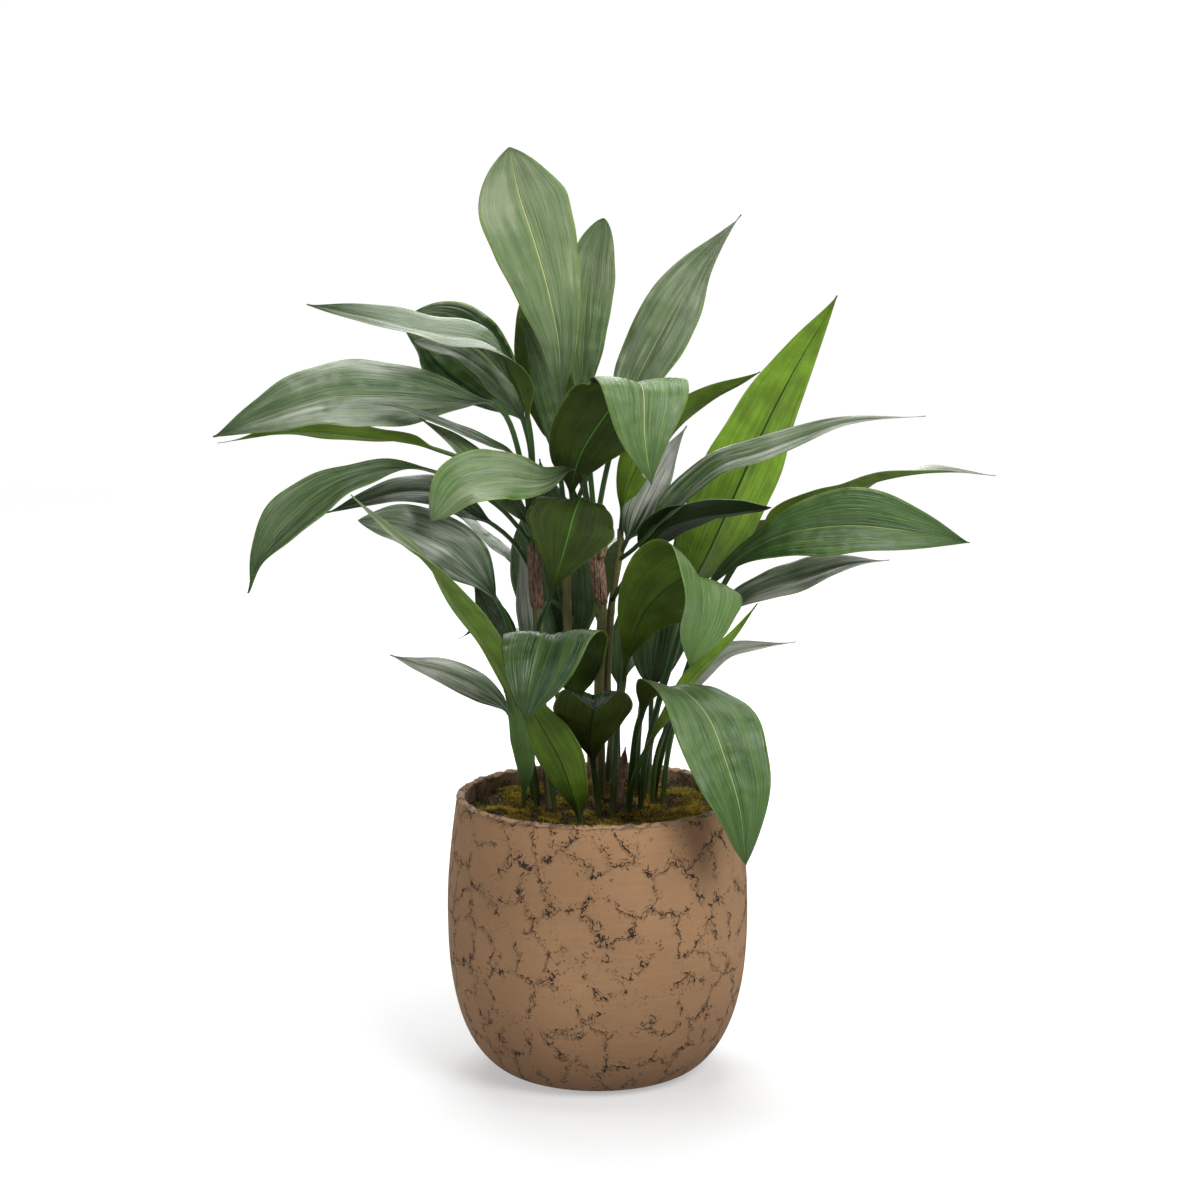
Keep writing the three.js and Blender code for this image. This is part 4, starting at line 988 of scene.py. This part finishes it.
def stem_material(s):
    material, tree, shader = new_material("stem_skin", 0.55, 0.25)
    position = place(tree)
    _, _, level = parts(position)
    blade = use_group(tree, "Blade", {"Vein Count": 26.0})
    patches = mottled(position, 45.0, 0.4, 0.65, 3.0, 0.6)
    mottle = maths("MAXIMUM", ramp(level, 0.36, 0.25) * 0.6, patches * 0.45)
    streak = ramp(blade["Streak"], 0.3, 0.7, 0.75, 1.25)
    plug(shader["Base Color"], toned(blend(mottle, s.bark, s.scar), streak))
    plug(shader["Normal"], bump(blade["Height"], 0.0012))
    return material


def fibre_material(s):
    material, tree, shader = new_material("dry_fibre", 0.9, 0.12)
    position = place(tree)
    lines = mottled(drawn_out(position, 0.16), 900.0, 0.35, 0.68, 3.0, 0.6)
    tone = mottled(position, 120.0, 0.35, 0.7, 3.0)
    colour = blend(lines, s.fibre_dark, s.fibre)
    plug(shader["Base Color"], blend(tone * 0.35, colour, s.fibre_pale))
    plug(shader["Normal"], bump(lines, 0.0009))
    return material


def material_named(name, maker, settings):
    return bpy.data.materials.get(name) or maker(settings)


# ---- pot ------------------------------------------------------------------------------------
def pot_radius(z):
    z = np.asarray(z, float)
    below = np.clip(1 - z / POT_BELLY_HEIGHT, 0, 1)
    spread = POT_BELLY_RADIUS - POT_FOOT_RADIUS
    lower = POT_FOOT_RADIUS + spread * (1 - below**POT_BELLY_POWER) ** (1 / POT_BELLY_POWER)
    above = np.clip((z - POT_BELLY_HEIGHT) / (POT_HEIGHT - POT_BELLY_HEIGHT), 0, 1)
    upper = POT_BELLY_RADIUS - (POT_BELLY_RADIUS - POT_RIM_RADIUS) * above**2
    return np.where(z <= POT_BELLY_HEIGHT, lower, upper)


def inner_radius(z, gap=0.0):
    return float(pot_radius(z)) - POT_WALL - gap


def pot_profile(rows):
    """Radius, level and surface number (0 wall, 1 lip and inside) from the foot to the floor."""
    shoulder = POT_HEIGHT - LIP_ROUND
    corner = POT_FLOOR + FLOOR_ROUND
    foot = [(POT_FOOT_RADIUS * 0.5, 0, 0), (POT_FOOT_RADIUS - 2, 0, 0)]
    wall = [(float(pot_radius(z)), z, 0) for z in shoulder * np.linspace(0, 1, rows) ** 1.25]
    lip = [
        (POT_RIM_RADIUS - POT_WALL / 2 + POT_WALL / 2 * math.cos(turn),
         shoulder + LIP_ROUND * math.sin(turn), 1)
        for turn in np.linspace(0, math.pi, 11)[1:-1]
    ]
    inside = [(inner_radius(z), z, 1) for z in np.linspace(shoulder, corner, 46)]
    return foot + wall + lip + inside + [(inner_radius(corner) - FLOOR_ROUND, POT_FLOOR, 1)]


def make_pot(s):
    radius, level, surface = np.array(pot_profile(s.rows)).T
    rows, sides = len(radius), s.sides
    out = spokes(round_turn(sides))
    grid = radius[:, None, None] * out + level[:, None, None] * UP
    slow, quick, grit = (
        waver(grid.reshape(-1, 3), scale, seed).reshape(rows, sides)
        for scale, seed in ((0.018, 3.1), (0.16, 8.4), (0.55, 5.2))
    )
    # The wall is a little uneven, the foot stands flat, and the lip is rough and chipped.
    near_lip = smooth(np.clip((level - (POT_HEIGHT - LIP_BAND)) / (LIP_BAND - 1), 0, 1))[:, None]
    standing = np.clip(level / FOOT_BAND, 0, 1)[:, None]
    push = standing * (0.55 * slow - 0.4) + near_lip * (0.7 * quick + 0.45 * grit - 0.7)
    inside = (surface > 0.5)[:, None]
    grid += out * np.where(inside, -push, push)[..., None]
    chipped = np.clip(0.5 + 0.9 * quick + 0.5 * grit, 0, 1.6)
    grid[..., 2] -= near_lip * (s.chip / MM * chipped)
    vertices = np.vstack([grid.reshape(-1, 3), [[0, 0, 0], [0, 0, POT_FLOOR]]])
    slots = np.r_[np.repeat(inside[:-1, 0], sides), [False] * sides, [True] * sides]
    materials = [
        material_named("clay_wall", clay_material, s),
        material_named("clay_lip", lip_material, s),
    ]
    piece = new_piece("pot_body", vertices, grid_quads(rows, sides), end_caps(rows, sides),
                      materials, slots=slots)
    finish_piece(piece, "pot")


# ---- soil and moss --------------------------------------------------------------------------
def soil_height(x, y):
    height = SOIL_TOP + 1.5 * np.sin(x * 0.11 + 1.3) * np.cos(y * 0.13 - 0.4)
    for mx, my, radius, rise in MOUNDS:
        near = np.clip(1 - np.hypot(x - mx, y - my) / radius, 0, 1)
        height = height + rise * smooth(near)
    return height


def soil_surface(x, y):
    """Points on the soil's crumbly top."""
    flat = np.stack([x, y, 0 * x], -1)
    height = soil_height(x, y) + 1.3 * waver(flat, 0.09, 2.0) + 0.8 * waver(flat, 0.3, 6.0)
    return flat + height[..., None] * UP


def make_soil(s):
    edge = inner_radius(SOIL_TOP, 0.6)
    bottom = POT_FLOOR + 0.6
    out = spokes(round_turn(SOIL_SIDES))
    under = [(edge * 0.55, bottom), (inner_radius(60, 2), 60), (edge - 0.5, 150), (edge - 0.5, 236)]
    rows = [radius * out + level * UP for radius, level in under]
    for radius in edge * (1 - np.arange(SOIL_RINGS) / SOIL_RINGS):    # from the wall to the middle
        rows.append(soil_surface(*(radius * out[:, :2]).T))
    middle = soil_surface(np.zeros(1), np.zeros(1))
    vertices = np.vstack([*rows, [[0, 0, bottom]], middle])
    material = material_named("damp_soil", soil_material, s)
    piece = new_piece("soil_bed", vertices, grid_quads(len(rows), SOIL_SIDES),
                      end_caps(len(rows), SOIL_SIDES), [material])
    finish_piece(piece, "soil")


def scattered(rng, count, edge):
    """Random places on a disc, as x and y."""
    radius, turn = edge * np.sqrt(rng.random(count)), 2 * np.pi * rng.random(count)
    return radius * np.cos(turn), radius * np.sin(turn)


def moss_spots(count, rng, edge):
    """Places on the soil, crowded on the mounds, thin between them and bare in the middle."""
    found = []
    while len(found) < count:
        x, y = scattered(rng, MOSS_DRAW, edge)
        flat = np.stack([x, y, 0 * x], -1)
        lift = soil_height(x, y) - SOIL_TOP
        patch = waver(flat, 0.05, 4.0) + 0.6 * waver(flat, 0.16, 9.0)
        bare = 0.25 * np.exp(-(x**2 + (y + 30) ** 2) / 2200)
        chance = np.clip(0.04 + 0.1 * lift + 1.5 * patch - bare, 0.01, 1)
        keep = rng.random(MOSS_DRAW) < chance
        found.extend(zip(x[keep], y[keep]))
    return np.array(found[:count])


def make_moss(s):
    """Each strand is a three-sided spike that leans out: two rings of three points and a tip."""
    rng = np.random.default_rng(SEEDS["moss"])
    spots = moss_spots(s.strands, rng, inner_radius(SOIL_TOP, 4))
    base = soil_surface(*spots.T) - 0.8 * UP
    count = len(base)
    turn = 2 * np.pi * rng.random(count)
    lean = rng.uniform(0.25, 1.15, count)[:, None]
    out, side = spokes(turn), spokes(turn, across=True)
    length = (s.strand / MM) * rng.uniform(0.45, 1.25, count)[:, None]
    radius = rng.uniform(0.22, 0.42, count)[:, None]
    middle = base + length * (0.5 * UP + 0.28 * out * lean)
    tip = base + length * (0.78 * UP + 0.85 * out * lean)
    points = []
    for centre, scale in ((base, 1.0), (middle, 0.9)):
        for angle in THIRDS:
            around = math.cos(angle) * side + math.sin(angle) * (UP * 0.4 - out * 0.9)
            points.append(centre + radius * scale * around)
    points = np.stack([*points, tip], 1)
    wall = repeated([[0, 1, 4, 3], [1, 2, 5, 4], [2, 0, 3, 5]], count, 7)
    ends = repeated([[3, 4, 6], [4, 5, 6], [5, 3, 6], [2, 1, 0]], count, 7)
    # In uv, x says how dry the strand is, and y how far up it a point lies.
    uv = np.zeros((count, 7, 2))
    uv[..., 0] = rng.random(count)[:, None] ** 3
    uv[:, 3:, 1] = 0.6
    uv[:, 6, 1] = 1.0
    material = material_named("moss_strands", moss_material, s)
    piece = new_piece("moss", points.reshape(-1, 3), wall, ends, [material], uv.reshape(-1, 2))
    finish_piece(piece, "soil")


def make_crumbs(s):
    """Loose crumbs of soil, each a squashed eight-sided lump with a spin of its own."""
    rng = np.random.default_rng(SEEDS["crumbs"])
    count = s.crumbs
    centre = soil_surface(*scattered(rng, count, inner_radius(SOIL_TOP, 3))) + 0.2 * UP
    size = rng.uniform(0.6, 2.1, (count, 1, 1)) * rng.uniform(0.55, 1.25, (count, 6, 1))
    spin = rng.uniform(0, math.pi, count)
    out, side = spokes(spin)[:, None], spokes(spin, across=True)[:, None]
    x, y, z = np.array([[1, 0, 0], [0, 1, 0], [-1, 0, 0], [0, -1, 0], [0, 0, 1], [0, 0, -1]]).T
    turned = out * x[:, None] + side * y[:, None] + 0.7 * UP * z[:, None]
    points = centre[:, None] + turned * size
    sides = [[0, 1, 4], [1, 2, 4], [2, 3, 4], [3, 0, 4], [1, 0, 5], [2, 1, 5], [3, 2, 5], [0, 3, 5]]
    material = material_named("damp_soil", soil_material, s)
    piece = new_piece("soil_crumbs", points.reshape(-1, 3), NO_FACES, repeated(sides, count, 6),
                      [material])
    finish_piece(piece, "soil")


# ---- leaves ---------------------------------------------------------------------------------
def facing_along(facing, along):
    faces = unit(np.asarray(facing if len(facing) > 1 else facing * 3, float))
    step = np.clip(along, 0, 1) * (len(faces) - 1)
    first = np.minimum(step.astype(int), len(faces) - 2)
    weight = smooth(step - first)[:, None]
    return faces[first] * (1 - weight) + faces[first + 1] * weight


def blade_half_width(leaf, along):
    shift = math.log(0.5) / math.log(leaf.widest)
    sine = np.clip(np.sin(math.pi * np.clip(along, 0, 1) ** shift), 0, 1)
    return leaf.width / 2 * sine ** np.where(along < leaf.widest, *leaf.ends)


def leaf_path(leaf, blade_rows):
    """Stations up the stalk and along the blade: distance, share of the blade, centre, axes."""
    samples = curve_points(list(leaf.foot) + list(leaf.blade))
    lengths = arc_lengths(samples)
    total, base = lengths[-1], lengths[CURVE_STEPS * len(leaf.foot)]
    stalk_rows = max(6, int(base / STALK_STEP))
    # Rows lie closer together at the two ends of the blade.
    even = np.linspace(0, 1, blade_rows + 1)
    steps = 0.3 * even + 0.35 * (1 - np.cos(math.pi * even))
    distance = np.r_[np.linspace(0, base, stalk_rows + 1)[:-1], base + (total - base) * steps]
    along = (distance - base) / (total - base)
    centre, ahead, behind = (
        along_curve(samples, lengths, np.clip(distance + reach, 0, total))
        for reach in (0, TANGENT_REACH, -TANGENT_REACH)
    )
    tangent = unit(ahead - behind)
    up = facing_along(leaf.facing, along)
    up = unit(up - (up * tangent).sum(1, keepdims=True) * tangent)
    return distance, along, centre, np.cross(tangent, up), up


def leaf_grid(leaf, columns, blade_rows, thickness, pleat, seed):
    """Rings of a leaf: the upper side from left to right, then the under side back again."""
    distance, along, centre, side, up = leaf_path(leaf, blade_rows)
    # Low on the blade the halves fold up to a channel, and below it the stalk is round.
    opened = np.clip(1 - along / CHANNEL_END, 0, 1) ** 2
    angle = np.radians(leaf.fold + (CHANNEL_FOLD - leaf.fold) * opened)[:, None]
    half = np.where(along > 0, blade_half_width(leaf, along), 0)
    wobble = 1 + 0.012 * np.sin(17 * along + seed) + 0.01 * np.sin(31 * along + 2 * seed)
    least = np.where(along < 0.5, leaf.stalk, TIP_HALF_WIDTH)
    half = np.maximum(half * wobble, least)[:, None]
    flat = smooth(np.clip(along / STALK_END, 0, 1))[:, None]
    arc = np.clip(np.sin(math.pi * np.clip(along, 0, 1)), 0, 1)
    swell = leaf.wave * np.sqrt(arc)[:, None]
    run = along[:, None]
    body = np.clip(half / 10, 0, 1) * np.clip((1 - run) * 8, 0, 1)
    step = np.arange(columns) / (columns - 1)
    rings = []
    for face in (1, -1):
        v = (face * (2 * step - 1))[None]
        size = np.abs(v)
        phase = WAVES * run + np.where(v < 0, WAVE_SHIFT, 0)
        ripple = swell * size**1.5 * np.sin(2 * math.pi * phase)
        fine_phase = 2 * math.pi * (FINE_WAVES * run + 0.4 * v) + seed
        ripple = ripple + FINE_WAVE_SHARE * swell * size**3 * np.sin(fine_phase)
        crease = np.sqrt(size**2 + CREASE_ROUND_SQUARED) - CREASE_ROUND
        arch = CROSS_ARCH * half * np.sin(math.pi * size)
        folds = pleat * body * np.cos(2 * math.pi * PLEATS * size) * (1 - size**6)
        rib = -RIB_DEPTH * np.exp(-((size * half / RIB_HALF_WIDTH) ** 2)) * body
        edge_thin = EDGE_THICKNESS + MIDDLE_GAIN * (1 - size**4)
        rise = half * crease * np.sin(angle) + ripple + arch + folds + rib
        rise = rise + face * thickness / 2 * edge_thin
        # The round stalk, with a shallow groove on its upper side.
        turn = math.pi * ((0.9 if face > 0 else -0.1) - 0.8 * step)[None]
        groove = 1 - GROOVE_DEPTH * np.exp(-((v / GROOVE_WIDTH) ** 2)) * (face > 0)
        round_part = (1 - flat) * leaf.stalk
        outward = flat * half * v * np.cos(angle) + round_part * np.cos(turn)
        lift = flat * rise + round_part * np.sin(turn) * groove
        rings.append(centre[:, None] + side[:, None] * outward[..., None]
                     + up[:, None] * lift[..., None])
    uv = np.zeros((len(along), 2 * columns, 2))
    uv[..., 0] = np.r_[step, step[::-1]][None]
    uv[..., 1] = (distance / 100)[:, None]
    return np.concatenate(rings, 1), uv, along


def leaf_faces(rows, columns, along):
    """Quads with both ends closed, their material slots, and which have flat shading."""
    ring = 2 * columns
    column = np.tile(np.arange(ring), rows - 1)
    row_along = np.repeat(along[:-1], ring)
    edge = (column == columns - 1) | (column == ring - 1)
    slots = np.where((column < columns - 1) | edge, UPPER, UNDER)
    slots[row_along < 0.02] = STALK
    a = np.arange(columns - 1)
    start = np.stack([a, ring - 1 - a, ring - 2 - a, a + 1], -1)
    tip = start[:, [0, 3, 2, 1]] + (rows - 1) * ring
    ends = columns - 1
    quads = np.vstack([grid_quads(rows, ring), start, tip])
    slots = np.r_[slots, [STALK] * ends, [UPPER] * ends]
    return quads, slots, np.r_[edge & (row_along > 0.1), [True] * (2 * ends)]


def make_leaf(name, leaf, node_name, s, seed, materials=None):
    columns = max(9, s.columns * 2 // 3) if leaf.width < THIN_LEAF else s.columns
    grid, uv, along = leaf_grid(leaf, columns, s.rows, s.thickness / MM, s.pleat / MM, seed)
    rows, ring = grid.shape[:2]
    quads, slots, flat = leaf_faces(rows, columns, along)
    made = materials or [
        material_named("leaf_upper", leaf_upper_material, s),
        material_named("leaf_under", leaf_under_material, s),
        material_named("leaf_stalk", stalk_material, s),
    ]
    piece = new_piece(name, grid.reshape(-1, 3), quads, NO_FACES, made, uv.reshape(-1, 2),
                      slots, flat)
    (*upper_look, painted_sheen), under_look, *left = LOOKS.get(leaf.name, PLAIN_LOOK)
    under = np.tile(np.asarray(under_look, float), (rows, ring, 1))
    if left:
        # Painted shade: the glow fades towards the foot of the blade.
        shade = smooth(np.clip(along / 0.4, 0, 1))
        under[..., 0] *= (left[0] + (1 - left[0]) * shade)[:, None]
    # The painted sheen shows most where a blade lies level.
    normals = unit(np.cross(np.gradient(grid, axis=1), np.gradient(grid, axis=0)))
    lies = smooth(np.clip((np.abs(normals[..., 2]) - 0.2) / 0.6, 0, 1))
    sheen_mask = np.stack([painted_sheen * (0.35 + 0.65 * lies), along[:, None] + 0 * lies, lies], -1)
    set_look(piece, "upper_look", np.tile(upper_look, (rows * ring, 1)))
    set_look(piece, "under_look", under)
    set_look(piece, "bloom_look", sheen_mask)
    finish_piece(piece, node_name)


# ---- stems ----------------------------------------------------------------------------------
def stem_swell(distance, turn):
    """Rings, ridges and slow swelling that a stem's skin adds to its radius."""
    rings = 0
    for level, size in STEM_RINGS:
        rings = rings + size * np.exp(-(((distance - level) / STEM_RING_WIDTH) ** 2))
    ridges = 0.16 * np.cos(9 * turn + 0.01 * distance) + 0.1 * np.cos(15 * turn)
    return rings + ridges + 0.12 * np.sin(distance * 0.13)


def make_stalk(name, points, sides, step, material):
    """A stem along a path of x, y, z and radius, with both ends closed."""
    path = np.asarray(points, float)
    samples = curve_points(path[:, :3])
    lengths = arc_lengths(samples)
    rows = max(3, int(lengths[-1] / step))
    distance = np.linspace(0, lengths[-1], rows)
    turn = round_turn(sides)
    radius = np.interp(distance, lengths[::CURVE_STEPS], path[:, 3])[:, None]
    radius = radius + stem_swell(distance[:, None], turn[None])
    centre = along_curve(samples, lengths, distance)
    grid = centre[:, None] + spokes(turn)[None] * radius[..., None]
    uv = np.zeros((rows, sides, 2))
    uv[..., 0] = (np.arange(sides) / sides)[None]
    uv[..., 1] = (distance / 100)[:, None]
    vertices = np.vstack([grid.reshape(-1, 3), [grid[0].mean(0)], [grid[-1].mean(0)]])
    spread = np.vstack([uv.reshape(-1, 2), [[0.5, 0]], [[0.5, 1]]])
    return new_piece(name, vertices, grid_quads(rows, sides), end_caps(rows, sides), [material],
                     spread)


def make_stems(s):
    skin = material_named("stem_skin", stem_material, s)
    for name, _, points in STEMS:
        finish_piece(make_stalk(name + "_stalk", points, 36, 3.0, skin), name)
    fibre = material_named("dry_fibre", fibre_material, s)
    finish_piece(make_stalk("cut_stub", CUT_STUB, 24, 2.0, fibre), "stem_middle")


def fibre_strip(rng, number, count, low, high, radius, path):
    """Rings of four corners up one loose fibre, which lies round a stem with a twist."""
    turn = 2 * math.pi * (number + rng.uniform(-0.3, 0.3)) / count
    twist = rng.uniform(-0.9, 0.9)
    start = low + rng.uniform(-6, 16) * (number % 3 == 0)
    end = high - rng.uniform(-4, 18) * (number % 2 == 0)
    level = np.linspace(start, end, STRIP_ROWS)
    share = (level - low) / (high - low)
    bulge = radius * (0.84 + 0.22 * np.sin(math.pi * np.clip(share, 0, 1)) ** 0.7)
    bulge = bulge + rng.uniform(-0.5, 0.5)
    away = bulge + 1.4 * (np.clip(share - 0.9, 0, 1) * rng.uniform(0, 6))
    x, y = (np.interp(level, path[:, 2], path[:, k]) for k in (0, 1))
    out, across = spokes(turn + twist * share), spokes(turn + twist * share, across=True)
    centre = np.stack([x, y, level], -1) + out * away[:, None]
    wide, thick = rng.uniform(0.45, 0.95), rng.uniform(0.25, 0.5)
    taper = np.clip(np.minimum(share + 0.12, 1.08 - share) * 8, 0.3, 1)[:, None]
    corners = ((-wide, -thick), (wide, -thick), (wide, thick), (-wide, thick))
    return np.stack([centre + taper * (a * across + b * out) for a, b in corners], 1)


def make_fibre_sheaths(s):
    rng = np.random.default_rng(SEEDS["fibres"])
    material = material_named("dry_fibre", fibre_material, s)
    paths = {name: np.asarray(points, float) for name, _, points in STEMS}
    last = 4 * (STRIP_ROWS - 1)
    ends = [[3, 2, 1, 0], [last, last + 1, last + 2, last + 3]]
    strip = np.vstack([grid_quads(STRIP_ROWS, 4), ends])
    for name, stem, low, high, radius in FIBRE_SHEATHS:
        strips = [
            fibre_strip(rng, number, s.strips, low, high, radius, paths[stem])
            for number in range(s.strips)
        ]
        piece = new_piece(name, np.concatenate(strips).reshape(-1, 3),
                          repeated(strip, s.strips, 4 * STRIP_ROWS), NO_FACES, [material])
        finish_piece(piece, stem)


# ---- stage ----------------------------------------------------------------------------------
def area_light(name, location, aim_height, size, power):
    data = bpy.data.lights.new(name, "AREA")
    data.shape, data.size, data.energy = "SQUARE", size, power
    light = bpy.data.objects.new(name, data)
    light.location = location
    x, y, z = location
    direction = Vector((-x, -y, aim_height - z))
    light.rotation_euler = direction.to_track_quat("-Z", "Y").to_euler()
    bpy.context.scene.collection.objects.link(light)


def backdrop_material(s):
    """Pale paper that brightens away from the plant, as under a studio's own backdrop lights."""
    material, tree, shader = new_material("pale_paper", 0.95, 0.1)
    position = place(tree)
    plug(shader["Base Color"], blend(grain(position, 1.5), s.floor, s.paper))
    away = Flow(node(tree, "ShaderNodeVectorMath", {0: position}, operation="LENGTH").outputs[1])
    bounced = flows(node(tree, "ShaderNodeLightPath"))["Is Diffuse Ray"]
    lit = ramp(away, 0.2, 1.5, 0.5, 1.0) * (1.0 - bounced * 0.7)
    plug(shader["Emission Color"], blend(lit, (0.0, 0.0, 0.0), (1.0, 1.0, 1.0)))
    shader["Emission Strength"].default_value = s.glow
    return material


def make_backdrop(s):
    """A floor that bends up into a wall behind the plant, in metres."""
    width, front, depth, bend, top = 8.0, -6.0, 3.2, 1.6, 5.0
    outline = [(front, 0.0), (depth, 0.0)]
    for turn in np.linspace(0, math.pi / 2, 13)[1:]:
        outline.append((depth + bend * math.sin(turn), bend * (1 - math.cos(turn))))
    outline.append((depth + bend, top))
    vertices = [(x / MM, y / MM, z / MM) for y, z in outline for x in (-width, width)]
    quads = [(2 * k, 2 * k + 1, 2 * k + 3, 2 * k + 2) for k in range(len(outline) - 1)]
    floor = new_piece("backdrop", vertices, quads, NO_FACES, [backdrop_material(s)])


def make_surround(s):
    """Plain white where the camera sees it, and dim as a light."""
    world = bpy.data.worlds.new("surround")
    world.use_nodes = True
    background = world.node_tree.nodes["Background"].inputs
    seen = flows(node(world.node_tree, "ShaderNodeLightPath"))["Is Camera Ray"]
    plug(background["Strength"], ramp(seen, 0.0, 1.0, s.sky, 1.0))
    background["Color"].default_value = (1, 1, 1, 1)
    bpy.context.scene.world = world


def make_camera(s):
    scene = bpy.context.scene
    data = bpy.data.cameras.new("photo_camera")
    data.lens, data.sensor_width, data.clip_end = s.lens, 36.0, 50
    camera = bpy.data.objects.new("photo_camera", data)
    back, rise = s.distance * math.cos(s.elevation), s.distance * math.sin(s.elevation)
    camera.location = (CAMERA_SHIFT, -back, s.aim + rise)
    camera.rotation_euler = (math.pi / 2 - s.elevation, 0, 0)
    scene.collection.objects.link(camera)
    scene.camera = camera


def make_stage(s):
    make_backdrop(s)
    make_surround(s)
    for light in LIGHTS:
        area_light(*light)
    make_camera(s)
    bpy.context.scene.view_settings.view_transform = "Standard"


# ---- operators ------------------------------------------------------------------------------
class PLANT_OT_pot(bpy.types.Operator):
    """Make the crackled clay pot"""
    bl_idname = "plant.pot"
    bl_label = "Pot"

    def execute(self, context):
        crackle_group()
        make_pot(context.scene.plant_pot)
        return {"FINISHED"}


class PLANT_OT_soil(bpy.types.Operator):
    """Make the soil with its loose crumbs"""
    bl_idname = "plant.soil"
    bl_label = "Soil"

    def execute(self, context):
        make_soil(context.scene.plant_soil)
        make_crumbs(context.scene.plant_soil)
        return {"FINISHED"}


class PLANT_OT_moss(bpy.types.Operator):
    """Grow the moss on the soil"""
    bl_idname = "plant.moss"
    bl_label = "Moss"

    def execute(self, context):
        make_moss(context.scene.plant_soil)
        return {"FINISHED"}


class PLANT_OT_stems(bpy.types.Operator):
    """Make the stems and their fibrous sheaths"""
    bl_idname = "plant.stems"
    bl_label = "Stems"

    def execute(self, context):
        blade_group()
        make_stems(context.scene.plant_stems)
        make_fibre_sheaths(context.scene.plant_stems)
        return {"FINISHED"}


class PLANT_OT_stem_leaves(bpy.types.Operator):
    """Make the leaves that grow from the tall stems"""
    bl_idname = "plant.stem_leaves"
    bl_label = "Stem Leaves"

    def execute(self, context):
        blade_group()
        settings = context.scene.plant_leaves
        for number, (stem, leaves, _) in enumerate(STEMS):
            for place_at, leaf in enumerate(leaves):
                make_leaf("blade_" + leaf.name, leaf, stem, settings, 1.7 * place_at + number)
        return {"FINISHED"}


class PLANT_OT_single_leaves(bpy.types.Operator):
    """Make the leaves that rise from the soil on stalks of their own"""
    bl_idname = "plant.single_leaves"
    bl_label = "Single Leaves"

    def execute(self, context):
        blade_group()
        settings = context.scene.plant_leaves
        for place_at, leaf in enumerate(SINGLE_LEAVES):
            make_leaf("blade_" + leaf.name, leaf, "leaf_" + leaf.name, settings, 2.3 * place_at)
        return {"FINISHED"}


class PLANT_OT_dry_sheaths(bpy.types.Operator):
    """Make the dry sheaths at the foot of the stalks"""
    bl_idname = "plant.dry_sheaths"
    bl_label = "Dry Sheaths"

    def execute(self, context):
        scene = context.scene
        fibre = material_named("dry_fibre", fibre_material, scene.plant_stems)
        for place_at, (name, width, points) in enumerate(DRY_SHEATHS):
            facing = [(0, 1, 0.2), (0, 1, 0.2)]
            husk = Leaf(name, width, 2.6, 20, 1, points[:1], points[1:], facing, 0.3, (1, 1))
            make_leaf(name + "_husk", husk, name, scene.plant_leaves, 3.1 * place_at,
                      [fibre] * 3)
        return {"FINISHED"}


class PLANT_OT_stage(bpy.types.Operator):
    """Make the pale backdrop, the soft lights and the camera"""
    bl_idname = "plant.stage"
    bl_label = "Stage"

    def execute(self, context):
        make_stage(context.scene.plant_stage)
        return {"FINISHED"}


OPERATORS = (
    PLANT_OT_stage, PLANT_OT_pot, PLANT_OT_soil, PLANT_OT_moss, PLANT_OT_stems,
    PLANT_OT_stem_leaves, PLANT_OT_single_leaves, PLANT_OT_dry_sheaths,
)
SETTINGS = {
    "plant_pot": PLANT_PG_pot,
    "plant_soil": PLANT_PG_soil,
    "plant_stems": PLANT_PG_stems,
    "plant_leaves": PLANT_PG_leaves,
    "plant_stage": PLANT_PG_stage,
}


class PLANT_PT_panel(bpy.types.Panel):
    """Lists the plant's settings and pieces"""
    bl_idname = "PLANT_PT_panel"
    bl_label = "Cast Iron Plant"
    bl_space_type = "VIEW_3D"
    bl_region_type = "UI"
    bl_category = "Plant"

    def draw(self, context):
        for attribute, group in SETTINGS.items():
            box = self.layout.box()
            for name in group.__annotations__:
                box.prop(getattr(context.scene, attribute), name)
        for operator in OPERATORS:
            self.layout.operator(operator.bl_idname)


def register():
    for group in (*SETTINGS.values(), *OPERATORS, PLANT_PT_panel):
        bpy.utils.register_class(group)
    for attribute, group in SETTINGS.items():
        setattr(bpy.types.Scene, attribute, PointerProperty(type=group))


def unregister():
    for attribute in SETTINGS:
        delattr(bpy.types.Scene, attribute)
    for group in (PLANT_PT_panel, *reversed(OPERATORS), *SETTINGS.values()):
        bpy.utils.unregister_class(group)


def main():
    register()
    for operator in OPERATORS:
        family, name = operator.bl_idname.split(".")
        getattr(getattr(bpy.ops, family), name)()
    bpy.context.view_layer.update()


if __name__ == "__main__":
    main()
